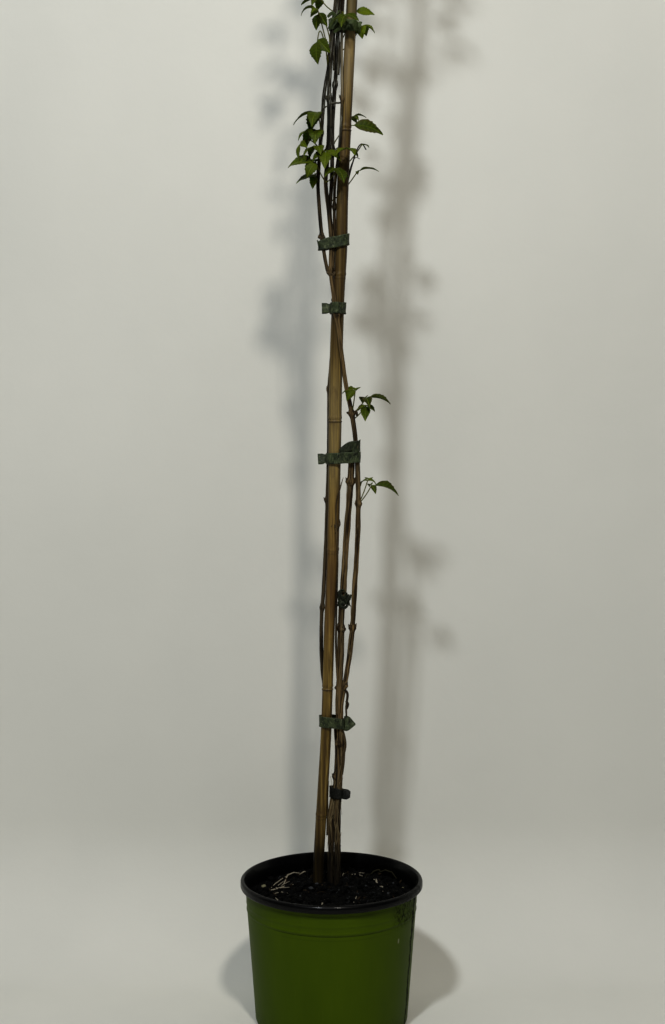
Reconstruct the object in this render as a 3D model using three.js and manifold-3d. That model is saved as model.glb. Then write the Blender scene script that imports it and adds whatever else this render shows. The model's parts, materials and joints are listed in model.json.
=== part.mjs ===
// A young clematis montana in a nursery pot, its stems tied to a bamboo cane.
// Millimetres, +Z up. The origin is the middle of the pot's underside, and -Y is the front.
import * as THREE from "three";
import { mergeVertices } from "three/addons/utils/BufferGeometryUtils.js";
import Module from "manifold-3d";

const wasm = await Module();
wasm.setup();

// Driving dimensions
const GAP = 0.35;                 // between pieces that touch
const ROUND = 32;                 // facets round the pot and the soil

const RIM_RADIUS = 95;
const POT_HEIGHT = 150;
const BASE_RADIUS = 79.4;
const WALL_TOP_RADIUS = 89.6;     // the wall just under the rim
const RIM_DROP = 8.5;             // height of the rolled rim
const WALL = 1.7;
const FLOOR_TOP = 4.6;
const DRAIN_RADIUS = 4;
const DRAINS = 8;
const DRAIN_CIRCLE = 45;          // radius of the ring of holes
const HOOPS = [117, 126];         // raised hoops on the wall

const SOIL_LEVEL = 131;
const STEM_FOOT = 84;             // the stems' lower ends, in the soil

const CANE_FOOT = 14;
const CANE_TOP = 1212;
const CANE_GIRTH = [              // height and radius
  [0, 5.8], [330, 5.6], [416, 5.7], [480, 6.2], [563, 6.5], [616, 6.9], [673, 6.9], [760, 6.3], [853, 6],
  [1014, 5.5], [1212, 5.4],
];
const CANE_RIDGE = 0.6;           // how far a joint stands out
const CANE_JOINTS = [72, 203, 342, 487, 625, 773, 923, 1062, 1184];

const STEP = 30;                  // height between the rings of a stem
const JOINT_SWELL = 1.35;         // a joint's girth beside the stem's
const TAPE_HEIGHT = 11.5;
const TAPE = 0.8;
const BLADE = 0.7;                // thickness of a leaf
const STALK_RADIUS = 0.6;
const STALK_THICKNESS = 1.05;

// Routes, as rows of height, x and distance behind the cane's middle line.
const CANE_ROUTE = [
  [0, -19], [136, -14.4], [168, -13.2], [244, -8.7], [293, -5.9], [341, -4.3], [416, -1.9], [480, 1],
  [543, 2.6], [563, 2.8], [616, 3.5], [673, 4.4], [751, 6.9], [802, 10], [853, 11.1], [924, 14.2],
  [964, 16.3], [1014, 18.9], [1054, 20.8], [1239, 26.8],
];
const CANE_LEAN = [[0, 40], [128, 38], [1239, 19.5]];   // height and y

const STRANDS = {
  left: {
    body: "stem_left",
    girth: [[84, 3.1], [226, 3], [325, 2], [844, 1.6], [1234, 1.1]],
    bends: [299, 314],
    joints: [246, 429, 542, 658, 751, 846, 954, 1081, 1163],
    route: [
      [84, -2, 1], [135, -0.9, -0.5], [168, -0.5, -0.2], [205, -0.3, 1], [228, 2, 4.5], [243, 5, 6.8],
      [265, 6, 7.2], [285, 5.8, 7.4], [299, 4.6, 8], [314, -4, 9.3], [339, -6.4, 8.8], [354, -8.6, 6.8],
      [373, -10.5, 3], [394, -10.4, 2], [429, -10.3, 3], [448, -8.4, 3.5], [480, -6.7, 3.5],
      [522, -4.4, 5], [543, -3.8, 5.5], [605, -2.4, 6], [658, -2.1, 6.5], [710, 1, 8], [751, 2.5, 8],
      [788, 1.5, 6.5], [804, 3.5, 5], [829, 4, 4], [853, 4.2, 2], [893, 7.5, -4.5], [924, 9.5, -6.2],
      [964, 11.1, -6], [1004, 10.1, -3], [1053, 12.1, -2], [1087, 15.5, -6], [1127, 22, -8.5],
      [1163, 30, -6], [1198, 36, -4], [1234, 41, -8],
    ],
  },
  right: {
    body: "stem_right",
    girth: [[84, 3.4], [230, 3.4], [293, 3.4], [603, 3.2]],
    joints: [284, 407, 562],
    route: [
      [84, 5.6, -1], [135, 5.6, -1.5], [168, 6.2, -1.5], [223, 6.4, -0.8], [244, 8, 0], [266, 9, 0],
      [293, 9, -1], [318, 7.9, -3], [341, 7.5, -3], [362, 9, -3], [394, 9.9, -2], [407, 9.5, -2],
      [448, 12.3, -1], [501, 15.4, -1], [542, 18.5, -1], [581, 20.9, -1], [603, 21.3, -1],
    ],
  },
  outer: {
    body: "stem_right", parent: "right", free: 356,
    girth: [
      [309, 2.4], [341, 2.6], [539, 2.6], [643, 2.3], [734, 2.3], [802, 2.1], [1053, 2], [1292, 1.1],
    ],
    joints: [347, 408, 539, 633, 734, 781, 904, 954, 1071, 1147, 1229],
    route: [
      [309, 9.5, -3], [341, 11.6, -4], [373, 17.7, -3], [394, 20.8, -2], [408, 22.2, -2], [448, 24.1, -1],
      [469, 25.6, -1], [522, 28, -1], [539, 28, -1], [563, 26.4, -2], [590, 26, -3], [610, 22.4, -5],
      [631, 21.5, -6], [663, 14.9, -6], [678, 12.9, -7], [704, 8.8, -9], [735, 5.7, -9], [761, 1.5, -6.5],
      [781, -0.7, -4], [802, 0, -3], [837, -2.6, -1], [853, -3.3, -1], [873, -6.2, -1], [888, -5.1, -1],
      [904, -3.3, -1.5], [914, -3, -2], [939, -2.6, -3], [964, -2.4, -3.4], [983, -1.4, -3],
      [1014, 1.2, -2.4], [1053, 7.6, -2], [1097, 11, -3], [1147, 15.5, -2.5], [1198, 19, -5],
      [1239, 22, -2], [1292, 25, 2],
    ],
  },
  twin: {
    body: "stem_right", parent: "outer", free: 822,
    girth: [[780, 2], [1014, 2.1], [1261, 1.1]],
    joints: [904, 969, 1117, 1203],
    route: [
      [780, 0.2, -4.2], [794, 1.6, -2], [809, 2, -0.4], [829, 1.8, 2.2], [853, 0.7, 3], [873, 0, 2.5],
      [904, 0.4, 2], [914, 0.4, 2], [954, 2.4, 3], [983, 4.8, 3], [1014, 6, 2], [1053, 9.6, 3],
      [1097, 14, 6], [1137, 19, 8.5], [1178, 27, 8.5], [1213, 33, 9], [1261, 36, 14],
    ],
  },
  side: {
    body: "stem_right", parent: "outer", free: 800,
    girth: [[776, 1.9], [1014, 1.9], [1053, 1.7], [1267, 1.1]],
    joints: [815, 920, 995, 1097, 1188],
    route: [
      [776, -0.7, -4.2], [785, -2.3, -4], [802, -6.8, -3], [815, -10.4, -2], [853, -12.9, -1],
      [873, -13.9, -1], [904, -11.8, -1], [926, -10, -1], [964, -7, -1], [983, -2.9, 0], [1014, 0, 0],
      [1053, 4, 1], [1092, 6, 2], [1137, 8, 5], [1178, 8, 8], [1224, 3, 12], [1267, -6, 15],
    ],
  },
  thread: {
    body: "stem_right", parent: "right", free: 370,
    girth: [[340, 1.2], [494, 0.9], [567, 0.8]],
    joints: [515],
    route: [
      [340, 7.5, -4.5], [350, 6.6, -6], [373, 5.2, -6], [394, 4.7, -6], [437, 5.2, -6], [480, 6.3, -6],
      [515, 4.7, -7], [535, 4.3, -7.2], [558, 9.6, -6], [567, 12.2, -6],
    ],
  },
};

// Ties: height, the strands held with the cane, slope of the tape and the side its ends point to. A turn is
// a second turn of the tape round some of them.
const TIES = [
  { name: "tie_foot", z: 230, holds: ["left", "right"], cane: false, slope: -0.08, ends: -18, tab: 8 },
  { name: "tie_low", z: 306, holds: ["left", "right", "outer"], cane: true, slope: -0.1, ends: 4, tab: 12 },
  { name: "tie_twist", z: 438, holds: ["right"], cane: false, slope: 0.1, ends: -55, tab: 6 },
  { name: "tie_middle", z: 588, holds: ["left", "right", "outer"], cane: true, slope: 0.06, ends: 175,
    tab: 8, turn: { z: 599, holds: ["right", "outer"], slope: 0.3 } },
  { name: "tie_upper", z: 742, holds: ["left", "outer"], cane: true, slope: 0, ends: 185, tab: 8 },
  { name: "tie_high", z: 807, holds: ["left", "twin", "outer", "side"], cane: true, slope: 0.2, ends: 205,
    tab: 2 },
  { name: "tie_top", z: 1029, holds: ["left", "twin", "outer", "side"], cane: true, slope: -0.1, ends: -14,
    tab: 3 },
  { name: "tie_crown", z: 1137, holds: ["left", "twin", "outer", "side"], cane: true, slope: 0.05, ends: 200,
    tab: 8 },
];

// Leaves. Each grows at height z of a strand, its stalk bends by way of a point to the hub, and its middle
// leaflet then points to the bearing (0 is +X, -90 is the front), rises by lift degrees and bows by droop.
// Swings are its leaflets' bearings beside the middle one's, hang is how far the side leaflets bow and share
// is their size. A hub and a way point are x, y and height, and a broad leaf has wider leaflets.
const LEAVES = [
  { on: "outer", z: 539, hub: [41.7, 26, 560], bearing: -8, lift: 10, roll: 20, size: 28, droop: 58,
    swings: [-60, 0, 112], hang: 75, share: 0.4 },
  { on: "outer", z: 539, hub: [38, 41, 563], bearing: 80, lift: 20, size: 16, droop: 50 },
  { on: "outer", z: 633, hub: [23.5, 17, 657], bearing: 156, lift: 14, size: 16, droop: 60, hang: 70 },
  { on: "outer", z: 633, hub: [41, 22, 652], bearing: -10, lift: 8, roll: 10, size: 24, droop: 52,
    swings: [-75, 0, 114], hang: 50, share: 0.8 },
  { on: "outer", z: 627, hub: [36, 31, 642], bearing: -96, lift: -34, size: 19, droop: 44, hang: 60,
    share: 0.6 },
  { on: "side", z: 920, hub: [-13, 15, 939], bearing: 184, lift: 2, size: 27, droop: 64,
    swings: [-68, 0, 66], share: 1.02 },
  { on: "side", z: 920, hub: [-15, 19, 922], bearing: 200, lift: 4, size: 22, droop: 76, hang: 88,
    share: 0.95 },
  { on: "side", z: 903, way: [-21, 22, 918], hub: [-31, 15, 910], bearing: 208, lift: -66, size: 17,
    droop: 40, swings: [0, 62], hang: 44, share: 0.74, broad: 0.95 },
  { on: "side", z: 898, hub: [-14, 12, 905], bearing: 206, lift: -10, size: 19, droop: 64,
    swings: [-70, 0, 70], hang: 78, share: 0.95, broad: 1.1 },
  { on: "outer", z: 871, hub: [-16, 14, 889], bearing: 182, lift: 13, roll: -12, size: 28, droop: 62,
    share: 0.7 },
  { on: "side", z: 873, hub: [-16, 28, 878], bearing: 184, lift: -4, roll: -14, size: 20, droop: 46,
    share: 0.8 },
  { on: "outer", z: 888, hub: [-5, 9, 900], bearing: -98, lift: -36, size: 22, droop: 50, hang: 60 },
  { on: "twin", z: 899, way: [24, 42, 912], hub: [22, 24, 931], bearing: -5, lift: -6, roll: 58, size: 33,
    droop: 60, swings: [0] },
  { on: "twin", z: 908, way: [10, 43, 925], hub: [21, 37, 939], bearing: 6, lift: 26, size: 14, droop: 64 },
  { on: "outer", z: 904, hub: [15, 8, 905], bearing: -56, lift: -4, size: 17, droop: 60,
    swings: [-78, 0, 84], hang: 62, share: 0.95, broad: 1.1 },
  { on: "outer", z: 871, way: [-2, 12, 868], hub: [5, 8, 882], bearing: -62, lift: -24, size: 21, droop: 50,
    swings: [-72, 0, 72], hang: 64, broad: 1.15 },
  { on: "twin", z: 852, way: [8, 41, 856], hub: [27, 26, 882], bearing: -4, lift: 24, size: 20, droop: 58,
    swings: [-100, 0, 100], hang: 40, share: 0.34 },
  { on: "twin", z: 878, way: [18, 44, 890], hub: [31, 21, 908], bearing: -30, lift: 6, size: 9, droop: 70,
    swings: [0] },
  { on: "side", z: 997, way: [-9, 24, 1028], hub: [-14, 11, 1041], bearing: 184, lift: 26, size: 19,
    droop: 108, share: 0.66 },
  { on: "side", z: 1010, way: [-4, 20, 1030], hub: [-9, 26, 1037], bearing: 190, lift: -14, size: 16,
    droop: 84, swings: [0, 112], hang: 92 },
  { on: "side", z: 988, way: [-11, 8, 1036], hub: [-14, 12, 1012], bearing: 236, lift: -70, size: 23,
    droop: 50, swings: [0, 74], hang: 60, share: 0.72, fold: 10, broad: 1.2 },
  { on: "twin", z: 1006, way: [16, 38, 1026], hub: [26, 29, 1045], bearing: -3, lift: 6, roll: 60, size: 20,
    droop: 44, swings: [-96, 0, 96], share: 0.4 },
  { on: "twin", z: 1001, way: [19, 40, 1010], hub: [33, 33, 1032], bearing: -12, lift: 4, roll: 26, size: 16,
    droop: 50, swings: [-74, 0, 74], hang: 66, share: 1, fold: 22, broad: 1.15 },
  { on: "left", z: 1041, hub: [14, 6, 1038], bearing: -112, lift: -34, size: 18, droop: 40,
    swings: [-78, 0, 72], hang: 52, share: 0.95 },
  { on: "side", z: 1042, hub: [-11, 29, 1056], bearing: 166, lift: 14, size: 20, droop: 60 },
];

// The crown above the photographed part: strand, height, bearings of the pair of leaves, stalk and size.
const CROWN = [
  ["side", 1097, [160, 262], 28, 30],
  ["twin", 1109, [55, 128], 30, 31],
  ["left", 1176, [-52, 36], 26, 28],
  ["outer", 1158, [196, 268], 27, 29],
  ["side", 1188, [112, 205], 26, 27],
  ["twin", 1210, [8, 104], 25, 26],
  ["outer", 1239, [248, 80], 22, 25],
  ["left", 1221, [-25], 20, 23],
  ["side", 1257, [175], 16, 20],
  ["twin", 1251, [45], 16, 20],
  ["outer", 1284, [20], 12, 18],
];

// Half outline of a leaflet from stalk to tip, as parts of its length: along and half width.
const HALF_OUTLINE = [[0.14, 0.18], [0.38, 0.28], [0.48, 0.24], [0.77, 0.12]];
const RIB_STOPS = [0.4, 0.72];
const ROOT_WIDTH = 0.5;           // half width of a leaflet's foot
const SWINGS = [-66, 0, 66];
const HANG = 92;
const SHARE = 0.82;               // size of a side leaflet beside the middle one

const POT_GREEN = 0x39490f;
const SOIL_BLACK = 0x17120d;
const CANE_TAN = 0x8d7547;
const STEM_BROWN = 0x5b4634;
const TAPE_GREEN = 0x24382c;
const LEAF_GREEN = 0x55801f;

// A draw that gives the same numbers every time.
let seed = 20;
function draw(low, high) {
  seed = (seed * 16807) % 2147483647;
  return low + (high - low) * (seed / 2147483647);
}

function radians(degrees) {
  return (degrees * Math.PI) / 180;
}

// Value of a table of rows at a height, on straight lines between the rows.
function between(rows, z, column = 1) {
  let row = 0;
  while (row < rows.length - 2 && z > rows[row + 1][0]) row++;
  const [low, high] = [rows[row], rows[row + 1]];
  const part = Math.min(1, Math.max(0, (z - low[0]) / (high[0] - low[0])));
  return low[column] + (high[column] - low[column]) * part;
}

// The same on a smooth curve through the rows.
function smooth(rows, z, column = 1) {
  let row = 0;
  while (row < rows.length - 2 && z > rows[row + 1][0]) row++;
  const [low, high] = [rows[row], rows[row + 1]];
  const before = rows[row - 1] ?? low;
  const after = rows[row + 2] ?? high;
  const span = high[0] - low[0];
  const part = Math.min(1, Math.max(0, (z - low[0]) / span));
  const startSlope = ((high[column] - before[column]) / (high[0] - before[0])) * span;
  const endSlope = ((after[column] - low[column]) / (after[0] - low[0])) * span;
  const square = part * part;
  const cube = square * part;
  return (2 * cube - 3 * square + 1) * low[column] + (cube - 2 * square + part) * startSlope
    + (3 * square - 2 * cube) * high[column] + (cube - square) * endSlope;
}

function geometryOf(positions, triangles) {
  const geometry = new THREE.BufferGeometry();
  geometry.setAttribute("position", new THREE.Float32BufferAttribute(positions, 3));
  geometry.setIndex(triangles);
  return geometry;
}

function toSolid(geometry) {
  geometry.deleteAttribute("normal");
  geometry.deleteAttribute("uv");
  const merged = mergeVertices(geometry, 1e-3);
  return new wasm.Manifold(new wasm.Mesh({
    numProp: 3,
    vertProperties: Float32Array.from(merged.attributes.position.array),
    triVerts: Uint32Array.from(merged.index.array),
  }));
}

function toGeometry(solid) {
  const mesh = solid.getMesh();
  const positions = [];
  for (let corner = 0; corner < mesh.vertProperties.length; corner += mesh.numProp) {
    positions.push(...mesh.vertProperties.slice(corner, corner + 3));
  }
  return geometryOf(positions, Array.from(mesh.triVerts));
}

// A closed tube round a list of points, with a radius at each.
function tube(points, radii, sides) {
  const positions = [];
  const triangles = [];
  const last = points.length - 1;
  let across = new THREE.Vector3(1, 0, 0);
  points.forEach((point, ring) => {
    const along = points[Math.min(ring + 1, last)].clone().sub(points[Math.max(ring - 1, 0)]).normalize();
    if (Math.abs(along.dot(across)) > 0.95) across = new THREE.Vector3(0, 0, 1);
    across = across.clone().projectOnPlane(along).normalize();
    const upward = along.clone().cross(across);
    for (let side = 0; side < sides; side++) {
      const turn = (2 * Math.PI * side) / sides;
      const corner = point.clone()
        .addScaledVector(across, radii[ring] * Math.cos(turn))
        .addScaledVector(upward, radii[ring] * Math.sin(turn));
      positions.push(corner.x, corner.y, corner.z);
      if (ring < last) {
        const here = ring * sides + side;
        const next = ring * sides + ((side + 1) % sides);
        triangles.push(here, next, next + sides, here, next + sides, here + sides);
      }
    }
  });
  for (let side = 1; side < sides - 1; side++) {
    triangles.push(0, side + 1, side);
    triangles.push(last * sides, last * sides + side, last * sides + side + 1);
  }
  return toSolid(geometryOf(positions, triangles));
}

function turned(profile, segments = ROUND) {
  const outline = profile.map(([radius, z]) => new THREE.Vector2(radius, z));
  return new THREE.LatheGeometry(outline, segments).rotateX(Math.PI / 2);
}

const plant = new THREE.Group();

function addPiece(name, solid, color, roughness, metalness = 0) {
  const material = new THREE.MeshStandardMaterial({ color, roughness, metalness, side: THREE.DoubleSide });
  const mesh = new THREE.Mesh(toGeometry(solid), material);
  mesh.name = name;
  plant.add(mesh);
}

// Pot: a thin tapered wall with a rolled rim, two raised hoops and a grooved foot with drain holes
const WALL_SLOPE = (WALL_TOP_RADIUS - BASE_RADIUS) / (POT_HEIGHT - RIM_DROP);

function wallRadius(z) {
  return BASE_RADIUS + WALL_SLOPE * z;
}

function potSolid() {
  const grooveTop = 2.6;
  const hoop = 0.6;
  const rimFoot = POT_HEIGHT - RIM_DROP;
  const profile = [
    [0, 0], [30, 0], [31.5, grooveTop], [59, grooveTop], [60.5, 0], [BASE_RADIUS - 1.2, 0],
    [BASE_RADIUS, 1.2],
    ...HOOPS.flatMap((z) => [-1, 0, 1].map((step) => [wallRadius(z) + hoop * (step === 0), z + step])),
    [WALL_TOP_RADIUS, rimFoot], [RIM_RADIUS - 0.9, rimFoot + 0.5], [RIM_RADIUS, rimFoot + 2],
    [RIM_RADIUS, POT_HEIGHT - 2], [RIM_RADIUS - 1.4, POT_HEIGHT - 0.3], [RIM_RADIUS - 3, POT_HEIGHT],
    [RIM_RADIUS - 4.4, POT_HEIGHT - 1.6], [wallRadius(rimFoot) - WALL, rimFoot - 1],
    [wallRadius(FLOOR_TOP) - WALL, FLOOR_TOP], [0, FLOOR_TOP],
  ];
  let pot = toSolid(turned(profile));
  for (let drain = 0; drain < DRAINS; drain++) {
    const hole = new THREE.CylinderGeometry(DRAIN_RADIUS, DRAIN_RADIUS, 10, 8).rotateX(Math.PI / 2);
    const turn = (2 * Math.PI * (drain + 0.5)) / DRAINS;
    hole.translate(DRAIN_CIRCLE * Math.cos(turn), DRAIN_CIRCLE * Math.sin(turn), FLOOR_TOP / 2);
    pot = pot.subtract(toSolid(hole));
  }
  return pot;
}

// Cane: nearly straight, with raised joints and the open bore of a cut bamboo at its top
function canePoint(z) {
  return new THREE.Vector3(smooth(CANE_ROUTE, z), between(CANE_LEAN, z), z);
}

function caneRadius(z) {
  return between(CANE_GIRTH, z);
}

function caneSolid() {
  const heights = [];
  for (let z = 0; z < CANE_TOP; z += 2 * STEP) {
    if (z > CANE_FOOT && CANE_JOINTS.every((joint) => Math.abs(z - joint) > 9)) heights.push(z);
  }
  heights.push(CANE_FOOT, CANE_TOP, ...CANE_JOINTS.flatMap((joint) => [joint - 3, joint, joint + 2.5]));
  heights.sort((low, high) => low - high);
  const bulge = (z) => (CANE_JOINTS.includes(z) ? CANE_RIDGE : 0);
  const cane = tube(heights.map(canePoint), heights.map((z) => caneRadius(z) + bulge(z)), 8);
  const top = canePoint(CANE_TOP);
  const bore = tube([top.clone().setZ(CANE_TOP - 22), top.clone().setZ(CANE_TOP + 2)], [3, 3], 8);
  return cane.subtract(bore);
}

// Strands: the cane and each stem as a run of points on the same heights, bent clear of each other
function strandOf(name, { girth, route, joints, body, parent, free, bends = [] }) {
  const heights = [];
  for (let z = Math.ceil(route[0][0] / STEP) * STEP; z < route.at(-1)[0]; z += STEP) heights.push(z);
  const ends = [route[0][0], route.at(-1)[0]];
  if (heights[0] - ends[0] > 2) heights.unshift(ends[0]);
  if (ends[1] - heights.at(-1) > 2) heights.push(ends[1]);
  const rows = heights.concat(bends).sort((low, high) => low - high)
    .map((z) => [z, smooth(route, z), between(CANE_LEAN, z) + smooth(route, z, 2)]);
  return { name, girth, joints, body, parent, free, rows };
}

// Radius of a strand at a height, with room for the swelling of a joint nearby.
function reach(strand, z) {
  const near = strand.joints.some((joint) => Math.abs(joint - z) < 16);
  return between(strand.girth, z) * (near ? JOINT_SWELL : 1);
}

function needed(strand, other, z) {
  return reach(strand, z) + reach(other, z) + GAP;
}

function fused(strand, other, z) {
  return (strand.parent === other.name && z < strand.free)
    || (other.parent === strand.name && z < other.free);
}

function bendClear(strand, others) {
  for (let pass = 0; pass < 30; pass++) {
    for (const row of strand.rows) {
      for (const other of others) {
        const z = row[0];
        if (z < other.rows[0][0] || z > other.rows.at(-1)[0] || fused(strand, other, z)) continue;
        const dx = row[1] - between(other.rows, z);
        const dy = row[2] - between(other.rows, z, 2);
        const apart = Math.hypot(dx, dy);
        const push = (needed(strand, other, z) - apart) / apart;
        if (push > 0) {
          row[1] += dx * push;
          row[2] += dy * push;
        }
      }
    }
  }
}

const caneStrand = {
  name: "cane",
  joints: [],
  girth: CANE_GIRTH.map(([z, radius]) => [z, radius + CANE_RIDGE / 2]),
  rows: [],
};
for (let z = 0; z <= CANE_TOP + STEP; z += STEP) caneStrand.rows.push([z, canePoint(z).x, canePoint(z).y]);

const strands = {};
for (const [name, plan] of Object.entries(STRANDS)) {
  const strand = strandOf(name, plan);
  bendClear(strand, [caneStrand, ...Object.values(strands)]);
  strands[name] = strand;
}

function strandPoint(strand, z) {
  return new THREE.Vector3(between(strand.rows, z), between(strand.rows, z, 2), z);
}

// One stem as a six-sided tube, swollen at its joints. Extra thickness makes the cutter for a leaf's foot.
function strandSolid(strand, from = -Infinity, to = Infinity, extra = 0) {
  const ends = [strand.rows[0][0], strand.rows.at(-1)[0]];
  const joints = strand.joints.filter((joint) => joint > ends[0] + 8 && joint < ends[1] - 8);
  const rings = strand.rows.map((row) => row[0]);
  const heights = rings.filter((z) => joints.every((joint) => Math.abs(z - joint) > 8));
  heights.push(...joints.flatMap((joint) => [joint - 5, joint, joint + 4]));
  const kept = heights.filter((z) => z >= from && z <= to).sort((low, high) => low - high);
  const radii = kept.map((z) => between(strand.girth, z) * (joints.includes(z) ? JOINT_SWELL : 1) + extra);
  return tube(kept.map((z) => strandPoint(strand, z)), radii, 6);
}

// A pair of small pointed buds on a joint, a quarter turned from one joint to the next.
function budSolids(strand) {
  const buds = [];
  const others = [caneStrand, ...Object.values(strands)].filter((other) => other !== strand);
  strand.joints.forEach((joint, order) => {
    if (LEAVES.some((leaf) => leaf.on === strand.name && Math.abs(leaf.z - joint) < 12)) return;
    if (TIES.some((tie) => Math.abs(tie.z - joint) < 13)) return;
    const radius = between(strand.girth, joint);
    for (const half of [0, 180]) {
      const turn = radians(35 + 90 * order + half);
      const outward = new THREE.Vector3(Math.cos(turn), Math.sin(turn), 0);
      const foot = strandPoint(strand, joint);
      const tip = foot.clone().addScaledVector(outward, radius * JOINT_SWELL + 1).setZ(joint + 4.5);
      if (others.some((other) => crowds(other, tip))) continue;
      buds.push(tube([foot, tip], [radius * 0.55, 0.35], 3));
    }
  });
  return buds;
}

function crowds(other, point) {
  if (point.z < other.rows[0][0] || point.z > other.rows.at(-1)[0]) return false;
  const [dx, dy] = [point.x - between(other.rows, point.z), point.y - between(other.rows, point.z, 2)];
  return Math.hypot(dx, dy) < reach(other, point.z) + 1.5;
}

// Soil: fills the pot, with a lumpy top and plain holes for the cane and the stems
function lump(x, y) {
  const edge = Math.min(1, (1 - Math.hypot(x, y) / 87) * 3);
  return edge * (2.2 * Math.sin(x / 11 + 1) * Math.cos(y / 9) + 1.4 * Math.sin(x / 5 - y / 6.5) + 1.2);
}

function soilSolid() {
  const low = FLOOR_TOP + GAP;
  const inside = (z) => wallRadius(z) - WALL - GAP;
  const rings = [80, 70, 59, 47, 35, 23, 12, 0];
  const geometry = turned([
    [0, low], [inside(low), low], [inside(SOIL_LEVEL - 3), SOIL_LEVEL - 3],
    ...rings.map((radius) => [radius, SOIL_LEVEL]),
  ]);
  const position = geometry.attributes.position;
  for (let corner = 0; corner < position.count; corner++) {
    if (position.getZ(corner) > SOIL_LEVEL - 1) {
      position.setZ(corner, SOIL_LEVEL + lump(position.getX(corner), position.getY(corner)));
    }
  }
  let soil = toSolid(geometry);
  const hole = (foot, head, radius) => tube([foot, head], [radius, radius], 10);
  soil = soil.subtract(hole(canePoint(CANE_FOOT - GAP), canePoint(SOIL_LEVEL + 20), caneRadius(0) + 1.5));
  for (const strand of [strands.left, strands.right]) {
    const foot = strandPoint(strand, STEM_FOOT);
    const head = strandPoint(strand, SOIL_LEVEL + 20);
    soil = soil.subtract(hole(foot.setZ(STEM_FOOT - GAP), head, strand.girth[0][1] + 1.4));
  }
  return soil;
}

// Ties: a band of tape drawn round the cane and stems, its two ends pressed together as a tab
function hull(points) {
  const sorted = points.slice().sort((a, b) => a.x - b.x || a.y - b.y);
  const turnOf = (a, b, c) => (b.x - a.x) * (c.y - a.y) - (b.y - a.y) * (c.x - a.x);
  const chain = (list) => list.reduce((kept, point) => {
    while (kept.length > 1 && turnOf(kept.at(-2), kept.at(-1), point) <= 0.01) kept.pop();
    return kept.concat(point);
  }, []);
  const lower = chain(sorted);
  const upper = chain(sorted.reverse());
  return lower.slice(0, -1).concat(upper.slice(0, -1));
}

function wrap(tie, clearance) {
  const held = tie.holds.map((name) => strands[name]).concat(tie.cane ? caneStrand : []);
  const span = TAPE_HEIGHT / 2 + 3 + 16 * Math.abs(tie.slope);
  const points = [];
  for (const z of [tie.z - span, tie.z, tie.z + span]) {
    for (const strand of held) {
      for (let step = 0; step < 10; step++) {
        const turn = (2 * Math.PI * step) / 10;
        const radius = (reach(strand, z) + clearance) / Math.cos(Math.PI / 10);
        points.push(new THREE.Vector2(
          between(strand.rows, z) + radius * Math.cos(turn),
          between(strand.rows, z, 2) + radius * Math.sin(turn),
        ));
      }
    }
  }
  return hull(points);
}

function bandSolid(tie) {
  const shape = new THREE.Shape(wrap(tie, GAP + TAPE));
  shape.holes.push(new THREE.Path(wrap(tie, GAP)));
  const band = new THREE.ExtrudeGeometry(shape, { depth: TAPE_HEIGHT, bevelEnabled: false });
  return toSolid(band.applyMatrix4(slopedTo(tie, between(strands[tie.holds.at(-1)].rows, tie.z))));
}

// Lifts a band to its height, where its slope crosses x.
function slopedTo(tie, x) {
  const sloped = new THREE.Matrix4().makeShear(0, tie.slope, 0, 0, 0, 0);
  return sloped.setPosition(0, 0, tie.z - TAPE_HEIGHT / 2 - tie.slope * x);
}

function tieSolid(tie) {
  const turn = radians(tie.ends);
  const outward = new THREE.Vector2(Math.cos(turn), Math.sin(turn));
  const outline = wrap(tie, GAP + TAPE);
  const edge = outline.reduce((best, point) => (point.dot(outward) > best.dot(outward) ? point : best));
  const tab = new THREE.BoxGeometry(tie.tab + 1, 2 * TAPE, TAPE_HEIGHT * 0.9);
  tab.translate(tie.tab / 2 - 0.5, 0, TAPE_HEIGHT / 2).rotateZ(turn).translate(edge.x, edge.y, 0);
  const middle = between(strands[tie.holds.at(-1)].rows, tie.z);
  const bands = [tie, tie.turn].filter(Boolean).map(bandSolid);
  return bands.reduce((joined, band) => joined.add(band), toSolid(tab.applyMatrix4(slopedTo(tie, middle))));
}

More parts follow.
